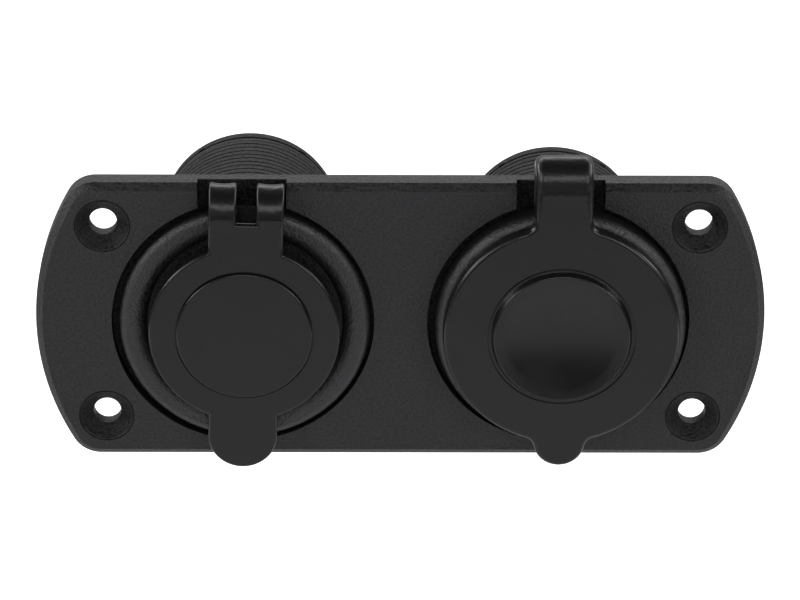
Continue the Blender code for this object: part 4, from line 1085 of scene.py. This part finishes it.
def make_rear_cap(name, node, rear, bore, skirt_length, slots, seat):
    rim = rear - REAR_RIM
    skirt = bore - ROUND_GAP
    wall = 1.3 * MM
    edge = 0.35 * MM
    tip, sunk = rim - skirt_length, rear - 0.3 * MM
    profile = [(0.0, rim), (skirt - wall, rim), (skirt - wall, tip), (skirt, tip)]
    profile += [(skirt, rim), (THREAD_RADIUS - 0.15 * MM, rim), (THREAD_RADIUS, rim + 0.15 * MM)]
    profile += arc((THREAD_RADIUS - edge, rear - edge), edge, 0, 90, 4)
    profile += [(THREAD_RADIUS - 1.8 * MM, rear), (THREAD_RADIUS - 2.1 * MM, sunk), (0.0, sunk)]
    cap = turned(name, profile, 160)
    for centre in slots:
        half_width = BLADE_WIDTH / 2 + ROUND_GAP
        half_depth = BLADE_THICKNESS / 2 + ROUND_GAP
        cut(cap, block("slot", (centre - half_depth, rim - OVERSHOOT, -half_width),
                       (centre + half_depth, rear + OVERSHOOT, half_width)))
        join(cap, raised_sign("sign", centre, sunk, centre > 0))
    for angle in SNAP_ANGLES:
        window = block("window", (-0.6 * MM, rim - OVERSHOOT, THREAD_RADIUS - 0.9 * MM),
                       (0.6 * MM, rim + 0.45 * MM, THREAD_RADIUS + OVERSHOOT))
        window.data.transform(Matrix.Rotation(math.radians(angle), 4, "Y"))
        cut(cap, window)
    soften(cap, 0.1 * MM, 2, 50.0)
    smooth(cap)
    return dress(cap, THREAD_PLASTIC, "panel", seat, [node])


make_rear_cap("usb_barrel_cap", "usb_rear_cap", USB_REAR, USB_BORE_RADIUS, 3.0 * MM,
              (-5.0 * MM, 5.0 * MM), USB_SEAT)
make_rear_cap("power_barrel_cap", "power_rear_cap", POWER_REAR, WELL_OUTSIDE + ROUND_GAP, 1.7 * MM,
              (-8.0 * MM, 5.2 * MM), POWER_SEAT)

# %% [markdown]
# The dust caps
#
# Each cap is one rubber moulding: a disc, a strap that bends over the top, and a collar that is clamped
# under the bezel. It is made as the mould sees it, from a flat outline. The flat sheet gets its thickness and
# its rounded rim first, and then its strap is wrapped round the two quarter turns of the bend. Wrapping a
# finished sheet keeps the rim round all along the bend, which a sweep of boxes would not do.
# The sheet is tied to no body: its place is baked into its mesh. The plug on its back and the collar are stiff, so
# they are pieces that ride on one body.

# %% The sheet and its bend


def front_bend(shape):
    """Radius of the front bend, after the neck has leaned back a little on its way up."""
    return (shape["bend"] - shape["ease"] * shape["lean"] / 2) / math.cos(shape["lean"])


def strap_start(shape):
    """Height at which the front bend starts."""
    return shape["top"] - front_bend(shape) * (1.0 - math.sin(shape["lean"]))


def strap_point(shape, along, depth):
    """Depth y and height z of a point on the strap: how far along it, and how far under its outside."""
    front, top, lean, ease = shape["front"], shape["top"], shape["lean"], shape["ease"]
    bend = front_bend(shape)
    axis = front + shape["bend"]
    back_bend = COLLAR_BACK - axis
    first = (math.pi / 2 - lean) * bend
    second = math.pi / 2 * back_bend
    thin = shape["leg"] / shape["thickness"]
    if along <= -ease:
        return front + depth, strap_start(shape) + along
    if along <= 0.0:
        turn = lean * (along + ease) / ease
        back = turn * (along + ease) / 2
        return front + back + depth * math.cos(turn), strap_start(shape) + along - depth * math.sin(turn)
    if along <= first:
        turn = lean + along / bend
        reach = bend - depth
        return axis - reach * math.cos(turn), top - bend + reach * math.sin(turn)
    if along <= first + second:
        turn = (along - first) / back_bend
        share = turn / (math.pi / 2)
        reach = back_bend - depth * (1.0 + (thin - 1.0) * share)
        return axis + reach * math.sin(turn), top - back_bend + reach * math.cos(turn)
    return COLLAR_BACK - depth * thin, top - back_bend - (along - first - second)


def strap_length(shape):
    """From where the bend starts to the strap's foot on the collar."""
    back_bend = COLLAR_BACK - shape["front"] - shape["bend"]
    first = (math.pi / 2 - shape["lean"]) * front_bend(shape)
    return first + math.pi / 2 * back_bend + shape["top"] - back_bend - shape["foot"]


def saddle_depth(shape, x, along):
    """The middle of a bent strap sinks a little between its edges, as bent rubber does."""
    for left, right in shape["spans"]:
        if left - 0.01 * MM <= x <= right + 0.01 * MM:
            across = (2 * x - left - right) / (right - left)
            reach = math.pi / 2 * shape["bend"]
            share = min(1.0, max(0.0, (along + 0.3 * reach) / (0.9 * reach)))
            return shape["saddle"] * (1.0 - across ** 2) * share * share * (3.0 - 2.0 * share)
    return 0.0


def straight_up(x, start, foot):
    """The side of a neck in short steps, along which its rounding can grow."""
    stops = [start + (foot - start) * step / 16 for step in range(1, 8)]
    return [(x, z) for z in stops] + [(x, foot)]


def rubber_sheet(name, outline, shape, details=()):
    """Extrude the outline, round its rim, add the raised details, and bend the strap."""
    start = strap_start(shape)
    front, thickness = shape["front"], shape["thickness"]
    bm = bmesh.new()
    face = bm.faces.new([bm.verts.new((x, front, z)) for x, z in outline])
    weight = bm.edges.layers.float.new("bevel_weight_edge")
    grown = bmesh.ops.extrude_face_region(bm, geom=[face])
    back = {item for item in grown["geom"] if isinstance(item, bmesh.types.BMVert)}
    for vert in back:
        vert.co.y += thickness
    foot = max(z for x, z in outline)
    widest = max(shape["edge"], shape["strap_edge"], shape["back_edge"])
    for edge in bm.edges:
        ends = [vert in back for vert in edge.verts]
        low = min(vert.co.z for vert in edge.verts)
        if low > foot - 0.01 * MM or ends[0] != ends[1]:
            continue
        size = shape["back_edge"]
        if not ends[0]:
            share = min(1.0, max(0.0, (low - shape["lead"][0]) / (shape["lead"][1] - shape["lead"][0])))
            size = shape["edge"] + (shape["strap_edge"] - shape["edge"]) * share * share * (3.0 - 2.0 * share)
        edge[weight] = size / widest
    sheet = link_mesh(name, bm)
    rim = sheet.modifiers.new("rim", "BEVEL")
    rim.limit_method = "WEIGHT"
    rim.width = widest
    rim.segments = 5
    rim.use_clamp_overlap = False
    settle(sheet)
    for detail, operation in details:
        boolean(sheet, detail, operation)
    bm = bmesh.new()
    bm.from_mesh(sheet.data)
    length = foot - start
    steps = 44
    for step in range(-4, steps):
        bmesh.ops.bisect_plane(bm, geom=bm.verts[:] + bm.edges[:] + bm.faces[:],
                               plane_co=(0, 0, start + length * step / steps), plane_no=(0, 0, 1))
    lowest = start - 4.5 * length / steps
    for left, right in shape["spans"]:
        for step in range(1, 10):
            upper = [item for item in bm.faces if min(vert.co.z for vert in item.verts) > lowest]
            touched = {edge for item in upper for edge in item.edges}
            corners = {vert for item in upper for vert in item.verts}
            bmesh.ops.bisect_plane(bm, geom=list(corners) + list(touched) + upper,
                                   plane_co=(left + (right - left) * step / 10, 0, 0), plane_no=(1, 0, 0))
    for vert in bm.verts:
        along = vert.co.z - start
        depth = vert.co.y - front
        depth += saddle_depth(shape, vert.co.x, along)
        vert.co.y, vert.co.z = strap_point(shape, along, depth)
    bmesh.ops.recalc_face_normals(bm, faces=bm.faces)
    bm.to_mesh(sheet.data)
    bm.free()
    return smooth(sheet, 38.0)


def cap_plug(name, bore, start, end):
    """The hollow plug on the back of a cap, loose in its bore and with a rounded tip."""
    tip = 0.5 * MM
    taper = 0.4 * MM
    radius = bore - 0.4 * MM
    inside = radius - 1.4 * MM
    profile = [(inside, start), (radius, start), (radius, (start + end) / 2)]
    profile += arc((radius - taper - tip, end - tip), tip, 0, 90, 5)
    profile += arc((inside + tip, end - tip), tip, 90, 180, 5)
    return smooth(turned(name, profile, 140, closed=True), 40.0)


def collar_ring(name):
    """The flat ring of rubber that the bezel clamps in its pocket."""
    inner, outer = BARREL_RADIUS + ROUND_GAP, 17.6 * MM
    edge = 0.2 * MM
    profile = [(inner, COLLAR_FRONT), (outer - edge, COLLAR_FRONT), (outer, COLLAR_FRONT + edge)]
    profile += [(outer, COLLAR_BACK - edge), (outer - edge, COLLAR_BACK), (inner, COLLAR_BACK)]
    return smooth(turned(name, profile, 120, closed=True), 40.0)


def groove(inner, outer, floor, mouth):
    """The ring that is cut away for a fine groove in a cap."""
    profile = [(inner, floor), (outer, floor), (outer, mouth), (inner, mouth)]
    return turned("groove", profile, 160, closed=True)


# %% Left dust cap
USB_CAP_RADIUS = 14.75 * MM
USB_FRONT = USB_HINGE.y - 4.0 * MM
USB_TOP = USB_HINGE.z
USB_PAD_RADIUS = 10.45 * MM
USB_PAD_HEIGHT = 0.5 * MM
USB_TAB_WIDTH = 10.7 * MM
USB_TAB_REACH = 22.7 * MM
USB_STRAP_WIDTH = 4.25 * MM
USB_STRAP_SLOT = 3.0 * MM
USB_SLOT_BOTTOM = 18.5 * MM

usb_shape = {
    "front": USB_FRONT,
    "thickness": 1.3 * MM,
    "top": USB_TOP,
    "bend": 4.0 * MM,
    "leg": 0.85 * MM,
    "foot": 15.6 * MM,
    "edge": 0.45 * MM,
    "strap_edge": 0.55 * MM,
    "back_edge": 0.25 * MM,
    "lead": (14.0 * MM, 19.0 * MM),
    "lean": math.radians(9.0),
    "ease": 3.0 * MM,
    "saddle": 0.3 * MM,
    "spans": (
        (-USB_STRAP_SLOT / 2 - USB_STRAP_WIDTH, -USB_STRAP_SLOT / 2),
        (USB_STRAP_SLOT / 2, USB_STRAP_SLOT / 2 + USB_STRAP_WIDTH),
    ),
}


def usb_cap_outline(foot):
    """Flat outline: disc, thumb tab below, neck and two straps above."""
    half_neck = USB_STRAP_SLOT / 2 + USB_STRAP_WIDTH
    half_tab = USB_TAB_WIDTH / 2
    neck_lean = math.degrees(math.acos(half_neck / USB_CAP_RADIUS))
    tab_lean = math.degrees(math.acos(half_tab / USB_CAP_RADIUS))
    right = arc((0.0, 0.0), USB_CAP_RADIUS, -tab_lean, neck_lean, 90)
    right += straight_up(half_neck, right[-1][1], foot)
    right += [(USB_STRAP_SLOT / 2, foot), (USB_STRAP_SLOT / 2, USB_SLOT_BOTTOM)]
    left = [(-x, z) for x, z in reversed(right)]
    return right + left + arc((0.0, half_tab - USB_TAB_REACH), half_tab, 180, 360, 48)


def usb_pad():
    """The raised centre, with a rounded rim."""
    top = USB_FRONT - USB_PAD_HEIGHT
    rim = 0.3 * MM
    profile = [(0.0, USB_FRONT + 0.5 * MM), (USB_PAD_RADIUS, USB_FRONT + 0.5 * MM)]
    profile += arc((USB_PAD_RADIUS - rim, top + rim), rim, 0, -90, 5)
    profile.append((0.0, top))
    return turned("pad", profile, 160)


usb_foot = strap_start(usb_shape) + strap_length(usb_shape)
pad_groove = groove(USB_PAD_RADIUS - 0.2 * MM, USB_PAD_RADIUS + 0.22 * MM,
                    USB_FRONT + 0.3 * MM, USB_FRONT - 0.1 * MM)
usb_details = [(pad_groove, "DIFFERENCE"), (usb_pad(), "UNION")]
usb_sheet = rubber_sheet("usb_cap_sheet", usb_cap_outline(usb_foot), usb_shape, usb_details)
dress(usb_sheet, CAP_RUBBER, None, USB_SEAT)
print("left sheet faces:", len(usb_sheet.data.polygons))

# %% Right dust cap
POWER_CAP_RADIUS = 18.25 * MM
POWER_FRONT = POWER_HINGE.y - 4.0 * MM
POWER_TOP = POWER_HINGE.z
POWER_BACK = POWER_CREST - FLAT_GAP
POWER_NECK_WIDTH = 8.8 * MM
POWER_LIP_RADIUS = 4.0 * MM
POWER_LIP_REACH = 22.25 * MM
POWER_BLEND = 1.9 * MM
BUTTON_RADIUS = 10.55 * MM

power_shape = {
    "front": POWER_FRONT,
    "thickness": POWER_BACK - POWER_FRONT,
    "top": POWER_TOP,
    "bend": 4.0 * MM,
    "leg": 0.85 * MM,
    "foot": 15.6 * MM,
    "edge": 0.7 * MM,
    "strap_edge": 1.4 * MM,
    "back_edge": 0.3 * MM,
    "lead": (18.5 * MM, 25.0 * MM),
    "lean": math.radians(6.0),
    "ease": 6.0 * MM,
    "saddle": 0.0,
    "spans": ((-POWER_NECK_WIDTH / 2, POWER_NECK_WIDTH / 2),),
}


def power_cap_outline(foot):
    """Flat outline: disc, rounded lip below and one wide neck above, with blended corners."""
    half_neck = POWER_NECK_WIDTH / 2
    reach = POWER_CAP_RADIUS + POWER_BLEND
    neck_x = half_neck + POWER_BLEND
    neck_z = math.sqrt(reach ** 2 - neck_x ** 2)
    neck_lean = math.degrees(math.atan2(neck_z, neck_x))
    lip_z = POWER_LIP_RADIUS - POWER_LIP_REACH
    gap = POWER_LIP_RADIUS + POWER_BLEND
    low = (reach ** 2 - gap ** 2 + lip_z ** 2) / (2 * lip_z)
    lip_x = math.sqrt(reach ** 2 - low ** 2)
    disc_lean = math.degrees(math.atan2(low, lip_x))
    lip_lean = math.degrees(math.atan2(low - lip_z, lip_x))
    right = arc((0.0, lip_z), POWER_LIP_RADIUS, -90, lip_lean, 24)
    right += arc((lip_x, low), POWER_BLEND, 180 + lip_lean, 180 + disc_lean, 12)[1:]
    right += arc((0.0, 0.0), POWER_CAP_RADIUS, disc_lean, neck_lean, 100)[1:]
    right += arc((neck_x, neck_z), POWER_BLEND, 180 + neck_lean, 180, 12)[1:]
    right += straight_up(half_neck, neck_z, foot)
    return right + [(-x, z) for x, z in reversed(right[1:])]


def power_button():
    """The raised button: sloping sides, a rounded rim and a hollow top for the thumb."""
    height, fillet, hollow, slope = 0.9 * MM, 0.12 * MM, 1.05 * MM, 66.0
    rim = POWER_FRONT - height
    edge = 0.3 * MM
    foot = BUTTON_RADIUS + 0.42 * MM
    inner = BUTTON_RADIUS - 1.1 * MM
    bowl = (inner ** 2 + hollow ** 2) / (2 * hollow)
    profile = [(0.0, POWER_FRONT + 0.6 * MM), (foot, POWER_FRONT + 0.6 * MM)]
    profile += arc((foot, POWER_FRONT - fillet - 0.005 * MM), fillet, 90, 90 + slope, 4)
    profile += arc((BUTTON_RADIUS - edge, rim + edge), edge, slope - 90, -90, 6)
    for step in range(15, -1, -1):
        radius = inner * step / 16
        profile.append((radius, rim + hollow - (bowl - math.sqrt(bowl ** 2 - radius ** 2))))
    return turned("button", profile, 160)


def button_seat():
    """Room for the hollow, which is deeper than the button is high."""
    return round_bar("seat", BUTTON_RADIUS / 2, POWER_FRONT - 0.1 * MM, POWER_FRONT + 0.3 * MM)


power_foot = strap_start(power_shape) + strap_length(power_shape)
button_groove = groove(BUTTON_RADIUS + 0.62 * MM, BUTTON_RADIUS + 0.92 * MM,
                       POWER_FRONT + 0.25 * MM, POWER_FRONT - 0.1 * MM)
power_details = [(button_groove, "DIFFERENCE"), (button_seat(), "DIFFERENCE"), (power_button(), "UNION")]
power_sheet = rubber_sheet("power_cap_sheet", power_cap_outline(power_foot), power_shape, power_details)
dress(power_sheet, CAP_RUBBER, None, POWER_SEAT)
print("right sheet faces:", len(power_sheet.data.polygons))

# %% Plugs, collars and the straps' place baked in
usb_plug = cap_plug("usb_cap_plug", USB_BORE_RADIUS, USB_FRONT + 1.0 * MM, USB_DISH + 3.1 * MM)
dress(usb_plug, CAP_RUBBER, "usb_cover", USB_SEAT, ["usb_cap"])
well_lip = WELL_SEAT - FLAT_GAP - 0.5 * MM
power_plug = cap_plug("power_cap_plug", WELL_RADIUS, POWER_BACK - 0.5 * MM, well_lip + 3.4 * MM)
dress(power_plug, CAP_RUBBER, "power_cover", POWER_SEAT, ["power_cap"])
dress(collar_ring("usb_collar_ring"), CAP_RUBBER, "panel", USB_SEAT, ["usb_cap_collar"])
dress(collar_ring("power_collar_ring"), CAP_RUBBER, "panel", POWER_SEAT, ["power_cap_collar"])


def blend_over(sheet):
    """Bake the sheet's place into its mesh."""
    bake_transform(sheet)


blend_over(usb_sheet)
blend_over(power_sheet)

# %% [markdown]
# The small parts inside
#
# Ports, contacts, blades and electronics keep the shape of their CAD solids, but stamped and moulded edges
# are never sharp. Each is copied, cleaned and given a fine bevel, and the copy stands for the solid.

# %% Refined copies


def refined_copy(node, name, width, segments=2):
    """A copy of a CAD node with flat faces merged and its sharp edges rounded."""
    bm = bmesh.new()
    bm.from_mesh(nodes[node].data)
    bmesh.ops.remove_doubles(bm, verts=bm.verts, dist=1e-6)
    bmesh.ops.dissolve_limit(bm, angle_limit=math.radians(0.5), verts=bm.verts, edges=bm.edges)
    piece = link_mesh(name, bm)
    soften(piece, width, segments, 40.0)
    smooth(piece, 40.0)
    return piece


INNER_PARTS = (
    ("usb_port_shell_upper", 0.08),
    ("usb_port_shell_lower", 0.08),
    ("usb_port_tongue_upper", 0.12),
    ("usb_port_tongue_lower", 0.12),
    ("usb_circuit_board", 0.10),
    ("usb_inductor", 0.30),
    ("usb_regulator_chip", 0.12),
    ("usb_light_guide", 0.12),
    ("usb_blade_negative", 0.10),
    ("usb_blade_positive", 0.10),
    ("power_insulating_washer", 0.12),
    ("power_centre_contact", 0.10),
    ("power_blade_positive", 0.10),
    ("power_blade_negative", 0.10),
)
for node, width in INNER_PARTS:
    piece = refined_copy(node, "finished_" + node, width * MM)
    dress(piece, CAD_FINISHES[slots[node]], "panel", stands_for=[node])
print("refined copies:", len(INNER_PARTS))
